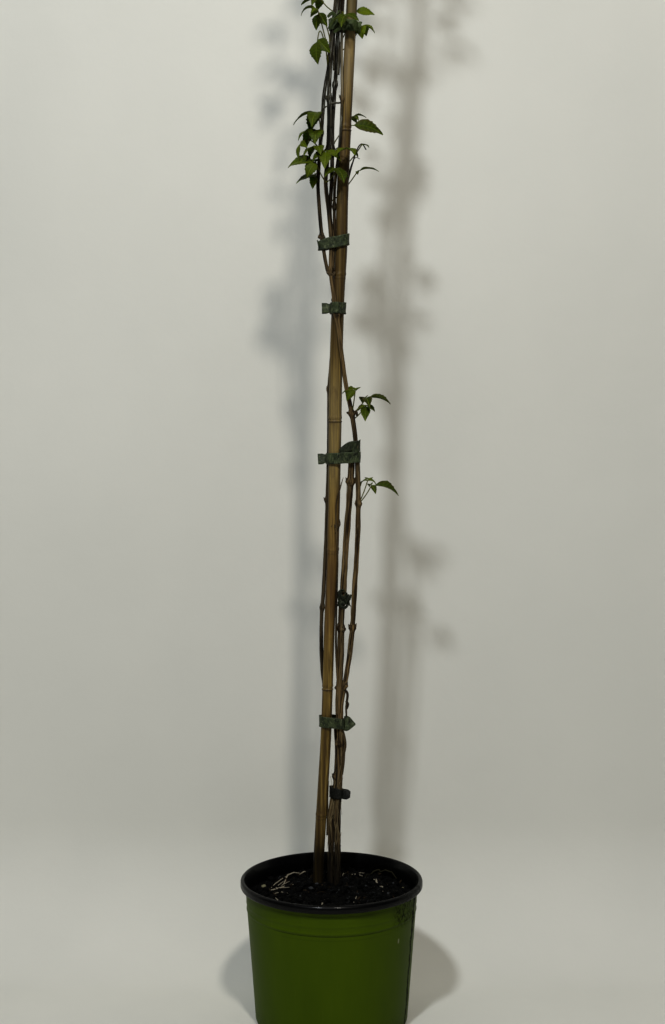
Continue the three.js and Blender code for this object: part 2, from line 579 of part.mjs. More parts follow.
// Leaves: three toothed leaflets cut in one sheet, each folded along its rib and arched to its tip, with the
// stalk drawn out of the sheet's heel back into the stem
function leafGeometry(curve, forward, side, upward, form) {
  const { way, size, droop, swings, hang, share, fold, broad } = form;
  const hub = curve.v2;
  const corners = [];
  const triangles = [];
  const outline = [];
  const corner = (point, normal, thickness = BLADE) => {
    corners.push(point.clone().addScaledVector(normal, thickness / 2));
    corners.push(point.clone().addScaledVector(normal, -thickness / 2));
    return corners.length / 2 - 1;
  };
  const face = (a, b, c) => triangles.push(2 * a, 2 * b, 2 * c, 2 * a + 1, 2 * c + 1, 2 * b + 1);
  const wall = (a, b) => triangles.push(2 * a, 2 * a + 1, 2 * b + 1, 2 * a, 2 * b + 1, 2 * b);
  const middle = corner(hub, upward);
  const ring = [];
  for (const swing of swings) {
    const bend = radians(swing === 0 ? droop : hang);
    const away = forward.clone().applyAxisAngle(upward, radians(swing));
    const across = side.clone().applyAxisAngle(upward, radians(swing));
    const length = swing === 0 ? size : size * share;
    const root = hub.clone().addScaledVector(away, swing === 0 ? 0.14 * size : 0.9);
    const at = (along, width) => {
      const turn = bend * along;
      const normal = upward.clone().multiplyScalar(Math.cos(turn)).addScaledVector(away, Math.sin(turn));
      const point = root.clone()
        .addScaledVector(away, (length * Math.sin(turn)) / bend)
        .addScaledVector(upward, (-length * (1 - Math.cos(turn))) / bend)
        .addScaledVector(across, width * Math.cos(radians(fold)))
        .addScaledVector(normal, Math.abs(width) * Math.sin(radians(fold)));
      return corner(point, normal);
    };
    const outer = HALF_OUTLINE.map(([along, width]) => [along, width * length * broad]);
    const right = [at(0, -ROOT_WIDTH), ...outer.map(([along, width]) => at(along, -width))];
    const left = [at(0, ROOT_WIDTH), ...outer.map(([along, width]) => at(along, width))];
    const tip = at(1, 0);
    const [low, high] = RIB_STOPS.map((along) => at(along, 0));
    face(right[0], low, left[0]);
    for (const step of [0, 1, 2]) {
      face(right[step], right[step + 1], low);
      face(left[step + 1], left[step], low);
    }
    face(right[3], high, low);
    face(high, left[3], low);
    face(right[3], right[4], high);
    face(left[4], left[3], high);
    face(right[4], tip, high);
    face(tip, left[4], high);
    ring.push(right[0], left[0]);
    outline.push(...right, tip, ...left.reverse());
  }

  // the stalk, as a run of pairs of corners from the heel of the sheet to the stem
  const stations = way ? 5 : 3;
  const stalk = [];
  let across = side;
  for (let station = stations; station >= 0; station--) {
    const tangent = curve.getTangent(station / stations);
    const point = station === stations ? hub.clone().addScaledVector(forward, -0.9)
      : curve.getPoint(station / stations);
    if (station < stations) across = across.clone().projectOnPlane(tangent).normalize();
    const normal = station === stations ? upward : tangent.clone().cross(across);
    const width = station === 0 ? 1.5 : 1;
    stalk.push([
      corner(point.clone().addScaledVector(across, STALK_RADIUS * width), normal, STALK_THICKNESS * width),
      corner(point.clone().addScaledVector(across, -STALK_RADIUS * width), normal, STALK_THICKNESS * width),
    ]);
  }
  stalk.slice(1).forEach(([left, right], order) => {
    const [lastLeft, lastRight] = stalk[order];
    face(lastRight, lastLeft, left);
    face(lastRight, left, right);
  });
  ring.push(...stalk[0]);
  outline.push(...stalk.map(([left]) => left), ...stalk.map(([, right]) => right).reverse());
  ring.forEach((here, order) => face(middle, here, ring[(order + 1) % ring.length]));
  outline.forEach((here, order) => wall(here, outline[(order + 1) % outline.length]));
  return geometryOf(corners.flatMap((point) => point.toArray()), triangles);
}

function leafSolid({ on, z, way, hub, bearing, lift, roll = 0, fold = 16, broad = 1, ...blades }) {
  const strand = strands[on];
  const foot = strandPoint(strand, z);
  const end = new THREE.Vector3(...hub);
  const sag = new THREE.Vector3(0, 0, -0.16 * foot.distanceTo(end));
  const middle = way ? new THREE.Vector3(...way) : foot.clone().lerp(end, 0.5).add(sag);
  const flat = new THREE.Vector3(Math.cos(radians(bearing)), Math.sin(radians(bearing)), 0);
  const forward = flat.clone().multiplyScalar(Math.cos(radians(lift))).setZ(Math.sin(radians(lift)));
  const side = new THREE.Vector3(-flat.y, flat.x, 0).applyAxisAngle(forward, radians(roll));
  const upward = forward.clone().cross(side);
  const curve = new THREE.QuadraticBezierCurve3(foot, middle, end);
  const form = { swings: SWINGS, hang: HANG, share: SHARE, way, fold, broad, ...blades };
  const leaf = toSolid(leafGeometry(curve, forward, side, upward, form));
  return leaf.subtract(strandSolid(strand, z - 2.2 * STEP, z + 2.2 * STEP, GAP));
}

function crownLeaves() {
  return CROWN.flatMap(([on, z, bearings, stalk, size]) => bearings.map((bearing) => {
    const foot = strandPoint(strands[on], z);
    const turn = radians(bearing);
    const rise = radians(draw(18, 38));
    const hub = [
      foot.x + stalk * Math.cos(rise) * Math.cos(turn),
      foot.y + stalk * Math.cos(rise) * Math.sin(turn),
      z + stalk * Math.sin(rise),
    ];
    const lift = draw(4, 26);
    const droop = draw(38, 64);
    const facing = bearing + draw(-14, 14);
    return { on, z, hub, bearing: facing, lift, size: size * draw(0.92, 1.08), droop, hang: droop * 1.5 };
  }));
}

// Assembly
addPiece("pot", potSolid(), POT_GREEN, 0.4);
addPiece("soil", soilSolid(), SOIL_BLACK, 0.95);
addPiece("cane", caneSolid(), CANE_TAN, 0.55);

for (const body of ["stem_left", "stem_right"]) {
  const parts = Object.values(strands).filter((strand) => strand.body === body);
  const solids = parts.flatMap((strand) => [strandSolid(strand), ...budSolids(strand)]);
  addPiece(body, solids.reduce((stem, solid) => stem.add(solid)), STEM_BROWN, 0.8);
}

for (const tie of TIES) {
  addPiece(tie.name, tieSolid(tie), TAPE_GREEN, 0.45);
}

[...LEAVES, ...crownLeaves()].forEach((plan, order) => {
  addPiece(`leaf_${String(order + 1).padStart(2, "0")}`, leafSolid(plan), LEAF_GREEN, 0.5);
});

export default plant;
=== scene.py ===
"""A young clematis montana in its nursery pot, tied to a bamboo cane, set up for a studio picture."""
import json
import math
import random

import bpy
from mathutils import Matrix, Vector, noise

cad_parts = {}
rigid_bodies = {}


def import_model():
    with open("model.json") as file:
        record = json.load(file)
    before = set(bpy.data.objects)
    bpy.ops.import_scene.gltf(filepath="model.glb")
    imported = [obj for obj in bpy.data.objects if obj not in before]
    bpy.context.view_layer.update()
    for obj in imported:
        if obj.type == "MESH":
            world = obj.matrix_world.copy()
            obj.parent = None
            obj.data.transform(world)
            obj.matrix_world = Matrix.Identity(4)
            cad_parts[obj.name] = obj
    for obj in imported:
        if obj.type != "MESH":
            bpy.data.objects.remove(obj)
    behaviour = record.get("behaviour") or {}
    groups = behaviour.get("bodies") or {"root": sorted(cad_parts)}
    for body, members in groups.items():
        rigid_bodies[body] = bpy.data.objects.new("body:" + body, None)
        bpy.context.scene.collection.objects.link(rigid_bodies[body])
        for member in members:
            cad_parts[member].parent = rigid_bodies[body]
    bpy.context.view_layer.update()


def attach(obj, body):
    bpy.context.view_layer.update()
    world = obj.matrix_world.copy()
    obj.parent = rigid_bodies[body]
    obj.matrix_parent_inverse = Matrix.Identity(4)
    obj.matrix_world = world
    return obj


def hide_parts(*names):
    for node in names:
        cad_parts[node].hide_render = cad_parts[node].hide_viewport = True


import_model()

# Pot
# A 3-litre nursery pot, blow-moulded in two layers of polythene: olive green outside and black inside. The
# black layer is rolled outwards over the edge as the rim. Hoops stiffen the wall, and the foot has a sunk
# ring with drain holes. It has stood on wet compost, so dirt has run down its right side.

MM = 0.001                        # the lengths below are millimetres, and the picture is made in metres


def shade(screen):
    """A screen colour, its parts from 0 to 255, as the light that it stands for."""
    return [((part / 255 + 0.055) / 1.055) ** 2.4 if part > 10 else part / 3295 for part in screen] + [1]


def bell(off, width):
    """1 in the middle, and soft to 0 beyond that width."""
    return math.exp(-(off / width) ** 2)


def rough(*place):
    """Smooth noise from -1 to 1 at a place."""
    return noise.noise(Vector(place))


def bearings(count):
    """Evenly spaced bearings round a circle, in radians."""
    return [2 * math.pi * step / count for step in range(count)]


def polar(radius, turn, z=0):
    """The place at a distance from the upright axis, at a bearing and a height."""
    return Vector((radius * math.cos(turn), radius * math.sin(turn), z))


def add(name, data):
    """Puts a mesh, light or camera into the scene."""
    thing = bpy.data.objects.new(name, data)
    bpy.context.scene.collection.objects.link(thing)
    return thing


class Value:
    """A number or colour that varies over a surface. Sums and products of it add Math nodes."""

    def __init__(self, finish, socket):
        self.finish = finish
        self.socket = socket

    def maths(self, operation, *others):
        terms = dict(enumerate((self, *others)))
        return self.finish.node("ShaderNodeMath", {"operation": operation}, terms)

    def __add__(self, other):
        return self.maths("ADD", other)

    def __sub__(self, other):
        return self.maths("SUBTRACT", other)

    def __rsub__(self, other):
        return self.finish.node("ShaderNodeMath", {"operation": "SUBTRACT"}, {0: other, 1: self})

    def __mul__(self, other):
        return self.maths("MULTIPLY", other)

    __radd__ = __add__
    __rmul__ = __mul__


class Finish:
    """A material with one main shader and the nodes that feed it."""

    def __init__(self, name):
        self.material = bpy.data.materials.new(name)
        self.material.use_nodes = True
        self.tree = self.material.node_tree
        self.shader = self.tree.nodes["Principled BSDF"]

    def feed(self, socket, source):
        if isinstance(source, Value):
            self.tree.links.new(source.socket, socket)
        else:
            socket.default_value = source

    def node(self, kind, settings=(), sockets=(), output=0):
        node = self.tree.nodes.new(kind)
        for name, setting in dict(settings).items():
            setattr(node, name, setting)
        for name, source in dict(sockets).items():
            self.feed(node.inputs[name], source)
        return Value(self, node.outputs[output])

    def paint(self, **sockets):
        for name, source in sockets.items():
            self.feed(self.shader.inputs[name.replace("_", " ")], source)

    def mark(self, name, output="Fac"):
        """A value that the mesh carries at its points."""
        return self.node("ShaderNodeAttribute", {"attribute_name": name}, output=output)

    def place(self, height=1):
        """Where the surface is, in millimetres, with its height scaled."""
        where = self.node("ShaderNodeTexCoord", output="Object")
        return self.scaled(where, (1 / MM, 1 / MM, height / MM))

    def axis(self, order):
        """How far along the x, y or z axis the surface is, in millimetres."""
        return self.node("ShaderNodeSeparateXYZ", {}, {0: self.place()}, order)

    def grown(self, scale):
        """Where the surface is round and along the fibres of its stem, in millimetres, scaled."""
        return self.scaled(self.mark("grown", "Vector"), scale)

    def scaled(self, vector, scale):
        return self.node("ShaderNodeVectorMath", {"operation": "MULTIPLY"}, {0: vector, 1: scale})

    def grain(self, where, size, detail=3, roughness=0.55, distortion=0):
        """Noise from 0 to 1, in patches of about that size."""
        sockets = {"Vector": where, "Scale": 1 / size, "Detail": detail, "Roughness": roughness}
        return self.node("ShaderNodeTexNoise", {}, {**sockets, "Distortion": distortion})

    def step(self, value, low, high):
        """A soft step from 0 at low to 1 at high."""
        settings = {"interpolation_type": "SMOOTHSTEP"}
        return self.node("ShaderNodeMapRange", settings, {"Value": value, "From Min": low, "From Max": high})

    def fade(self, value, low, high):
        """A soft step down from 1 at low to 0 at high."""
        return 1 - self.step(value, low, high)

    def near(self, value, low, high):
        """1 where the value is within low of 0, and 0 where it is beyond high, on either side."""
        return self.fade(value.maths("ABSOLUTE"), low, high)

    def span(self, value, low, full, fading, high):
        """A soft step up from low to full, and down again from fading to high."""
        return self.step(value, low, full) * self.fade(value, fading, high)

    def mix(self, part, *colours):
        """From the first colour to the second as part goes from 0 to 1. Plain ones are screen colours."""
        first, second = (shade(colour) if isinstance(colour, tuple) else colour for colour in colours)
        return self.node("ShaderNodeMix", {"data_type": "RGBA"}, {0: part, 6: first, 7: second}, 2)

    def coats(self, colour, *coats):
        """A colour under further ones, each given as how much it covers and its colour."""
        for part, coat in coats:
            colour = self.mix(part, colour, coat)
        return colour

    def relief(self, height, depth, strength):
        """Bump of that depth in millimetres."""
        sockets = {"Strength": strength, "Distance": depth * MM, "Height": height}
        return self.node("ShaderNodeBump", {}, sockets)


class Form:
    """Points, faces and values at the points, gathered for one piece."""

    def __init__(self):
        self.points = []
        self.faces = []
        self.marks = {}               # each mark's value at the numbers of the points that have it

    def point(self, place, **marks):
        self.points.append(Vector(place))
        for name, value in marks.items():
            self.marks.setdefault(name, {})[len(self.points) - 1] = value
        return len(self.points) - 1

    def skin(self, rows, around=True):
        """Faces between neighbouring rows of points."""
        for near, far in zip(rows, rows[1:]):
            count = len(near)
            for here in range(count if around else count - 1):
                ahead = (here + 1) % count
                self.faces.append((near[here], near[ahead], far[ahead], far[here]))

    def tube(self, rows):
        """Faces round a tube and over its two ends."""
        self.skin(rows)
        self.close(rows[0], backwards=True)
        self.close(rows[-1])

    def close(self, row, backwards=False):
        """A fan over the open end of a tube."""
        marks = {name: values[row[0]] for name, values in self.marks.items() if row[0] in values}
        middle = self.point(sum((self.points[corner] for corner in row), Vector()) / len(row), **marks)
        for here, corner in enumerate(row):
            ahead = row[(here + 1) % len(row)]
            self.faces.append((ahead, corner, middle) if backwards else (corner, ahead, middle))

    def mesh(self, name):
        mesh = bpy.data.meshes.new(name)
        mesh.from_pydata([point * MM for point in self.points], [], self.faces)
        for mark, values in self.marks.items():
            vector = isinstance(next(iter(values.values())), tuple)
            layer = mesh.attributes.new(mark, "FLOAT_VECTOR" if vector else "FLOAT", "POINT")
            for corner, value in values.items():
                setattr(layer.data[corner], "vector" if vector else "value", value)
        mesh.shade_smooth()
        return mesh

    def piece(self, name, finish, node, slot):
        """The finished piece, which stands for that CAD node."""
        piece = add(name, self.mesh(name))
        piece.data.materials.append(finish.material)
        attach(piece, "root")
        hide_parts(node)
        return piece


POT_HEIGHT = 150
RIM_RADIUS = 95
RIM_DROP = 8.5
BASE_RADIUS = 79.4
WALL_TOP_RADIUS = 89.6
WALL = 1.7
FLOOR_TOP = 4.6
HOOPS = [[119.3, 0.6], [126.6, 0.25]]  # height and how far it stands out
SHADE_LINES = [[116.9, 0.62, 0.45], [112.6, 0.16, 0.5], [137.4, 0.3, 0.5]]  # painted shade lines along the hoops and under the rim: height, strength and half width
DRAINS = 8
DRAIN_RADIUS = 4
DRAIN_CIRCLE = 45
DRAIN_SIDES = 24
POT_SEGMENTS = 168
SHADE_LINE_REACH = 46                      # how far round from the front the painted shade lines run, in degrees
RUN_SIDE = 72                     # bearing of the run of dirt, in degrees round from the front
SPLASH_SIDE = 58
DROP = [51.6, 101]                # bearing and height of a dried drop of mud


def wall_radius(z):
    return BASE_RADIUS + (WALL_TOP_RADIUS - BASE_RADIUS) * z / (POT_HEIGHT - RIM_DROP)


def hoop_swell(z):
    """How far the hoops stand out from the wall, with a fine groove under each."""
    return sum(out * bell(z - hoop, 1.1) - 0.5 * out * bell(z - hoop + 2.4, 0.8) for hoop, out in HOOPS)


def pot_profile():
    """Outline of the pot's section, from the middle of its foot out, up, over the rim and down inside."""
    foot = [(0, 0), (15, 0), (29, 0), (30.4, 0.5), (31.2, 1.6), (32, 2.5), (34, 2.6), (45, 2.6), (57, 2.6),
            (59, 2.5), (59.8, 1.6), (60.4, 0.5), (61.5, 0), (70, 0), (76.6, 0), (78, 0.4), (79, 1.3)]
    heights = [3, 6, 12, 24, 40, 56, 72, 88, 100, 106, 110] + [111 + 0.8 * step for step in range(24)]
    wall = [(wall_radius(z) + hoop_swell(z), z) for z in heights]
    top = POT_HEIGHT - RIM_DROP
    wall += [(wall_radius(z), z) for z in (132, 136, 139, top - 0.6)]
    rim = [(WALL_TOP_RADIUS + 0.1, top - 0.2), (90.6, top), (92.5, top + 0.1), (94.2, top + 0.6),
           (94.8, top + 1.4), (95, top + 2.6)]
    rim += [(95, 146), (94.9, 147.2), (94.4, 148.5), (93.6, 149.4), (92.6, 149.9), (91.8, 150), (91, 149.6)]
    lip = [(90.5, 148.9), (90.1, 147.6), (89.3, 145.4), (88.5, 143), (87.95, 140.8)]
    inner = [(wall_radius(z) - WALL, z) for z in (138, 134, 130, 124, 112, 90, 60, 30, 12, 6.5)]
    floor = [(76.5, FLOOR_TOP + 0.4), (74, FLOOR_TOP), (45, FLOOR_TOP), (20, FLOOR_TOP)]
    return foot + wall + rim + lip + inner + floor


def pot_form():
    form = Form()
    rows = []
    profile = pot_profile()
    rim_from = profile.index((WALL_TOP_RADIUS + 0.1, POT_HEIGHT - RIM_DROP - 0.2))
    for order, (radius, z) in enumerate(profile[1:], start=1):
        row = []
        for turn in bearings(POT_SEGMENTS):
            warp = 0.35 * math.sin(2 * turn + 0.7) * z / POT_HEIGHT + 0.12 * math.sin(5 * turn + z / 40)
            reach = min(radius + (warp if radius > 60 else 0), RIM_RADIUS)
            row.append(form.point(polar(reach, turn, z), black=float(order >= rim_from)))
        rows.append(row)
    form.tube(rows)
    return form


def pot_finish():
    finish = Finish("two-layer pot plastic")
    x, y, z = (finish.axis(order) for order in range(3))
    facing = x.maths("ARCTAN2", 0 - y) * math.degrees(1)
    cloud = finish.grain(finish.place(0.3), 34, 3)
    scuff = finish.grain(finish.place(0.12), 3.2, 4, 0.7)
    colour = finish.mix(cloud, (56, 74, 0), (72, 91, 0))
    colour = finish.mix(finish.step(scuff, 0.56, 0.78) * 0.2, colour, (88, 102, 30))
    black = finish.mix(cloud, (2, 2, 2), (5, 5, 5))
    # Painted shade: thin dark lines along the hoops and under the rim, only across the front.
    front = finish.near(facing, SHADE_LINE_REACH - 14, SHADE_LINE_REACH + 4)
    for height, strength, half in SHADE_LINES:
        shade_line = finish.near(z - height, 0.3, 0.3 + half)
        colour = finish.mix(shade_line * front * finish.step(scuff, 0.2, 0.5) * strength, colour, (16, 22, 0))
    fine = finish.grain(finish.place(0.45), 2.4, 6, 0.8, 0.5)
    sway = finish.grain(finish.place(), 14, 2) * 8
    run = finish.near(facing + sway - (RUN_SIDE + 4), 1.1, 3) * finish.step(fine, 0.4, 0.48)
    splash = finish.near(facing - SPLASH_SIDE, 6, 17) * finish.step(z, 110, 126)
    splash = splash * finish.step(fine, 0.48, 0.55)
    high = finish.step(z, 60, 140)
    film = finish.span(facing, RUN_SIDE + 1, RUN_SIDE + 8, 110, 140)
    film = film * finish.step(fine, 0.36, 0.6) * high * 0.6
    drop = finish.near(facing - DROP[0], 0.3, 1.1) * finish.near(z - DROP[1], 1, 3.4)
    specks = finish.step(finish.grain(finish.place(), 2.1, 3, 0.6), 0.7, 0.75) * high * 0.4
    dust = finish.fade(z, 0, 26) * finish.step(fine, 0.4, 0.7) * 0.5
    dirt = run
    for other in (splash, specks, dust):
        dirt = dirt.maths("MAXIMUM", other)
    colour = finish.coats(colour, (film, (96, 96, 70)), (dirt, (12, 11, 6)), (drop, (132, 134, 104)))
    black_part = finish.step(finish.mark("black"), 0.3, 0.7)
    colour = finish.mix(black_part, colour, finish.mix(dirt * 0.4, black, (30, 28, 22)))
    skin = finish.grain(finish.place(), 1.6, 2)
    finish.paint(Base_Color=colour,
                 Roughness=0.42 - black_part * 0.12 + cloud * 0.1 + dirt * 0.4 + scuff * 0.08,
                 Normal=finish.relief(skin * 0.4 + cloud * 0.8 + dirt * 0.7 + drop, 0.35, 0.5),
                 Specular_IOR_Level=0.09, Coat_Weight=black_part * 0.18, Coat_Roughness=0.13)
    return finish


def cut_drains(pot):
    """Cuts the drain holes through the pot's floor."""
    punch = Form()
    for drain in range(DRAINS):
        turn = 2 * math.pi * (drain + 0.5) / DRAINS
        middle = polar(DRAIN_CIRCLE, turn)
        punch.tube([[punch.point(middle + polar(DRAIN_RADIUS, side, z)) for side in bearings(DRAIN_SIDES)]
                    for z in (-4, FLOOR_TOP + 4)])
    cutter = add("drain_punch", punch.mesh("drain_punch"))
    cut = pot.modifiers.new("drains", "BOOLEAN")
    cut.object = cutter
    cut.operation = "DIFFERENCE"
    bpy.context.view_layer.update()
    cut_mesh = bpy.data.meshes.new_from_object(pot.evaluated_get(bpy.context.evaluated_depsgraph_get()))
    pot.modifiers.clear()
    pot.data = cut_mesh
    bpy.data.objects.remove(cutter)


pot = pot_form().piece("nursery_pot", pot_finish(), "pot", "pot")
cut_drains(pot)

# Soil
# Dark peat compost fills the pot to a finger under the rim. It is crumbly and damp, and on it lie pale grit
# and root strands, bark chips and a loop of old root on the right, all loose.

SOIL_LEVEL = 131
SOIL_GAP = 0.35                   # between the soil and the pot's wall
SOIL_EDGE_DROP = 1.6              # at the wall
SOIL_RINGS = 84
SOIL_SEGMENTS = 200
CRUMBS = 1500
CHIPS = 46
FIBRES = 150
random.seed(7)


def lump(x, y):
    """The larger lumps of the soil's top, as in the CAD."""
    edge = min(1, (1 - math.hypot(x, y) / 87) * 3)
    return edge * (2.2 * math.sin(x / 11 + 1) * math.cos(y / 9) + 1.4 * math.sin(x / 5 - y / 6.5) + 1.2)


def soil_top(x, y):
    """Height of the soil, with its clods and crumbs."""
    clods = 1.8 * rough(x / 9, y / 9, 3) + 1.1 * rough(x / 3.6, y / 3.6, 8)
    crumbs = 0.7 * rough(x / 1.6, y / 1.6, 1)
    return SOIL_LEVEL + lump(x, y) + clods + crumbs


def bent_tube(form, path, radii, sides, ribs=None, **marks):
    """A closed tube round a list of points, with a radius at each. Ribs gives its section."""
    across = Vector((1, 0, 0))
    rows = []
    length = 0
    for ring, centre in enumerate(path):
        ahead = path[min(ring + 1, len(path) - 1)] - path[max(ring - 1, 0)]
        along = ahead.normalized()
        if abs(along.dot(across)) > 0.95:
            across = Vector((0, 0, 1))
        across = (across - along * along.dot(across)).normalized()
        upward = along.cross(across)
        length += (centre - path[ring - 1]).length if ring else 0
        row = []
        for turn in bearings(sides):
            radius = radii[ring] * (ribs(ring, turn) if ribs else 1)
            outward = across * math.cos(turn) + upward * math.sin(turn)
            grown = (radii[ring] * math.cos(turn), radii[ring] * math.sin(turn), length)
            row.append(form.point(centre + outward * radius, grown=grown, **marks))
        rows.append(row)
    form.tube(rows)
    return rows


def ball():
    """Points and faces of a ball of unit radius: an icosahedron with each face split in four."""
    golden = (1 + math.sqrt(5)) / 2
    points = [Vector(corner).normalized() for corner in (
        (-1, golden, 0), (1, golden, 0), (-1, -golden, 0), (1, -golden, 0),
        (0, -1, golden), (0, 1, golden), (0, -1, -golden), (0, 1, -golden),
        (golden, 0, -1), (golden, 0, 1), (-golden, 0, -1), (-golden, 0, 1))]
    large = [(0, 11, 5), (0, 5, 1), (0, 1, 7), (0, 7, 10), (0, 10, 11), (1, 5, 9), (5, 11, 4), (11, 10, 2),
             (10, 7, 6), (7, 1, 8), (3, 9, 4), (3, 4, 2), (3, 2, 6), (3, 6, 8), (3, 8, 9), (4, 9, 5),
             (2, 4, 11), (6, 2, 10), (8, 6, 7), (9, 8, 1)]
    halves = {}

    def half(first, second):
        key = (min(first, second), max(first, second))
        if key not in halves:
            points.append(((points[first] + points[second]) / 2).normalized())
            halves[key] = len(points) - 1
        return halves[key]

    faces = []
    for a, b, c in large:
        ab, bc, ca = half(a, b), half(b, c), half(c, a)
        faces += [(a, ab, ca), (b, bc, ab), (c, ca, bc), (ab, bc, ca)]
    return points, faces


BALL_POINTS, BALL_FACES = ball()


def clod(form, centre, size, roughness, kind):
    """A rough lump, turned any way. Its size is its three half lengths."""
    turn = random.uniform(0, 6.3)
    turned = Matrix.Rotation(turn, 3, Vector([random.gauss(0, 1) for _ in range(3)]))
    shift = Vector((random.uniform(-90, 90), 0, 0))
    first = len(form.points)
    for corner in BALL_POINTS:
        dent = 1 + roughness * rough(*(corner * 1.7 + shift))
        out = Vector([part * length * dent for part, length in zip(corner, size)])
        form.point(centre + turned @ out, kind=kind)
    form.faces += [tuple(first + corner for corner in face) for face in BALL_FACES]


def soil_form():
    form = Form()
    rows = []
    for z in (FLOOR_TOP + SOIL_GAP, 60, 110, 122):
        radius = wall_radius(z) - WALL - SOIL_GAP
        rows.append([form.point(polar(radius, turn, z), kind=PEAT) for turn in bearings(SOIL_SEGMENTS)])
    edge = wall_radius(SOIL_LEVEL) - WALL - SOIL_GAP
    for ring in range(SOIL_RINGS):
        radius = edge * (1 - ring / SOIL_RINGS)
        row = []
        for turn in bearings(SOIL_SEGMENTS):
            x, y = radius * math.cos(turn), radius * math.sin(turn)
            row.append(form.point((x, y, soil_top(x, y) - (0 if ring else SOIL_EDGE_DROP)), kind=PEAT))
        rows.append(row)
    form.tube(rows)
    return form


def scatter(reach=84):
    """A random place on the soil."""
    radius = math.sqrt(random.uniform(0, 1)) * reach
    turn = random.uniform(0, 2 * math.pi)
    return radius * math.cos(turn), radius * math.sin(turn)


def lay(form, route, radius, kind, lift=0.5, sides=6):
    """A root or fibre that lies on the soil along a list of places, thinner to its ends."""
    path = []
    for here, ahead in zip(route, route[1:]):
        steps = max(2, int(math.dist(here[:2], ahead[:2]) / 2.5))
        path += [[a + (b - a) * step / steps for a, b in zip(here, ahead)] for step in range(steps)]
    path.append(list(route[-1]))
    shift = random.uniform(-50, 50)
    heights = [soil_top(x, y) for x, y, _ in path]
    points = []
    for order, (x, y, rise) in enumerate(path):
        near = heights[max(0, order - 2):order + 3]  # their mean, so that it spans the crumbs
        sway = 0.5 * rough(order / 3, shift, 0)
        points.append(Vector((x + sway, y + 0.5 * rough(0, order / 3, shift),
                              sum(near) / len(near) + lift + rise + 0.5 * sway)))
    count = len(points) - 1
    radii = [radius * (0.45 + 0.55 * math.sin(math.pi * (0.12 + 0.8 * order / count)))
             for order in range(count + 1)]
    bent_tube(form, points, radii, sides, kind=kind)


PEAT, BARK, GRIT, ROOT, MOSS, STONE = 0.0, 1.0, 2.0, 3.0, 4.0, 5.0
ROOTS = [                         # places on the soil and the height over it, in mm, the radius and the kind
  [[(-51, 33, 0.5), (-47, 52, 3), (-41, 60, 3.5), (-34, 63, 2)], 0.75, ROOT],
  [[(-35, 63, 1), (-30, 71, 1.5), (-25, 71, 0.5)], 0.65, ROOT],
  [[(-64, 18, 0.5), (-60, 28, 1.5), (-52, 43, 2), (-46, 53, 2)], 0.5, ROOT],
  [[(-64, 6, 1), (-56, 11, 1.5), (-49, 18, 1.5), (-40, 24, 0.5)], 0.6, ROOT],
  [[(-62, 2, 0.5), (-55, 5, 1.5), (-44, 12, 0.5)], 0.45, ROOT],
  [[(-59, -7, 0), (-52, -4, 1), (-45, -1, 0)], 0.45, ROOT],
  [[(-63, -1, 0), (-56, -2, 0.5), (-50, -7, 0)], 0.35, MOSS],
  [[(-60, 17, 0.5), (-56, 28, 1), (-51, 39, 1)], 0.4, ROOT],
  [[(-58, 18, 0.5), (-52, 31, 1.5), (-45, 40, 0.5)], 0.4, ROOT],
  [[(-41, 32, 0), (-38, 42, 1), (-34, 52, 0)], 0.35, MOSS],
  [[(-58, -13, 0.5), (-54, -21, 0)], 0.6, ROOT],
  [[(13, 67, 0), (20, 66, 1)], 0.6, ROOT],
  [[(21, 71, 0.5), (29, 69, 1), (36, 70, 0)], 0.6, ROOT],
  [[(21, 60, 0.5), (27, 62, 1.5), (34, 60, 0.5)], 0.5, ROOT],
  [[(13, 63, 0.5), (12, 49, 0.5)], 0.4, ROOT],
  [[(43, 67, 0), (46, 69, 2.5), (51, 71, 4), (55, 70, 3), (59, 67, 0)], 0.9, MOSS],
  [[(50, 60, 4), (58, 56, 8), (65, 50, 8), (70, 42, 3)], 0.7, MOSS],
  [[(36, 58, 0), (39, 66, 1), (43, 67, 0)], 0.4, MOSS],
  [[(41, 47, 0), (47, 42, 1)], 0.7, ROOT],
  [[(48, 42, 1.5), (48, 32, 1), (50, 26, 0)], 1, ROOT],
  [[(51, 18, 0), (54, 15, 1), (54, 7, 0)], 0.8, ROOT],
  [[(22, -34, 0), (26, -18, 1)], 0.6, ROOT],
  [[(-10, -34, 0), (-7, -24, 1)], 0.9, ROOT],
  [[(5, -9, 0), (10, 7, 0.5)], 0.55, STONE],
  [[(75, 28, 0), (77, 14, 0.5), (78, 4, 0)], 0.45, MOSS],
]
GRITS = [                         # place, size and kind of each lump
  (-72, 21, 3.2, GRIT), (-67, 28, 2.7, MOSS), (-70, 32, 2, MOSS), (-66, 15, 2, MOSS),
  (-56, 54, 1.9, STONE), (2, 60, 1.6, GRIT), (54, 35, 1.3, GRIT), (40, 30, 1.3, STONE),
  (42, 18, 1.8, GRIT), (44, 22, 1.2, STONE), (36, 22, 1.2, STONE), (26, 4, 2.3, STONE),
  (14, 17, 1.6, STONE), (19, 0, 1.5, STONE), (16, -13, 1.5, STONE), (76, 25, 1.5, GRIT),
  (59, -4, 1.6, STONE), (-16, 28, 2.4, STONE), (-22, 14, 2.6, STONE), (-17, -3, 2.3, STONE),
  (-28, 2, 1.6, STONE), (-33, -12, 1.7, STONE), (60, 46, 1.5, STONE), (66, 34, 1.6, STONE),
  (-27, -48, 1.2, GRIT),
]


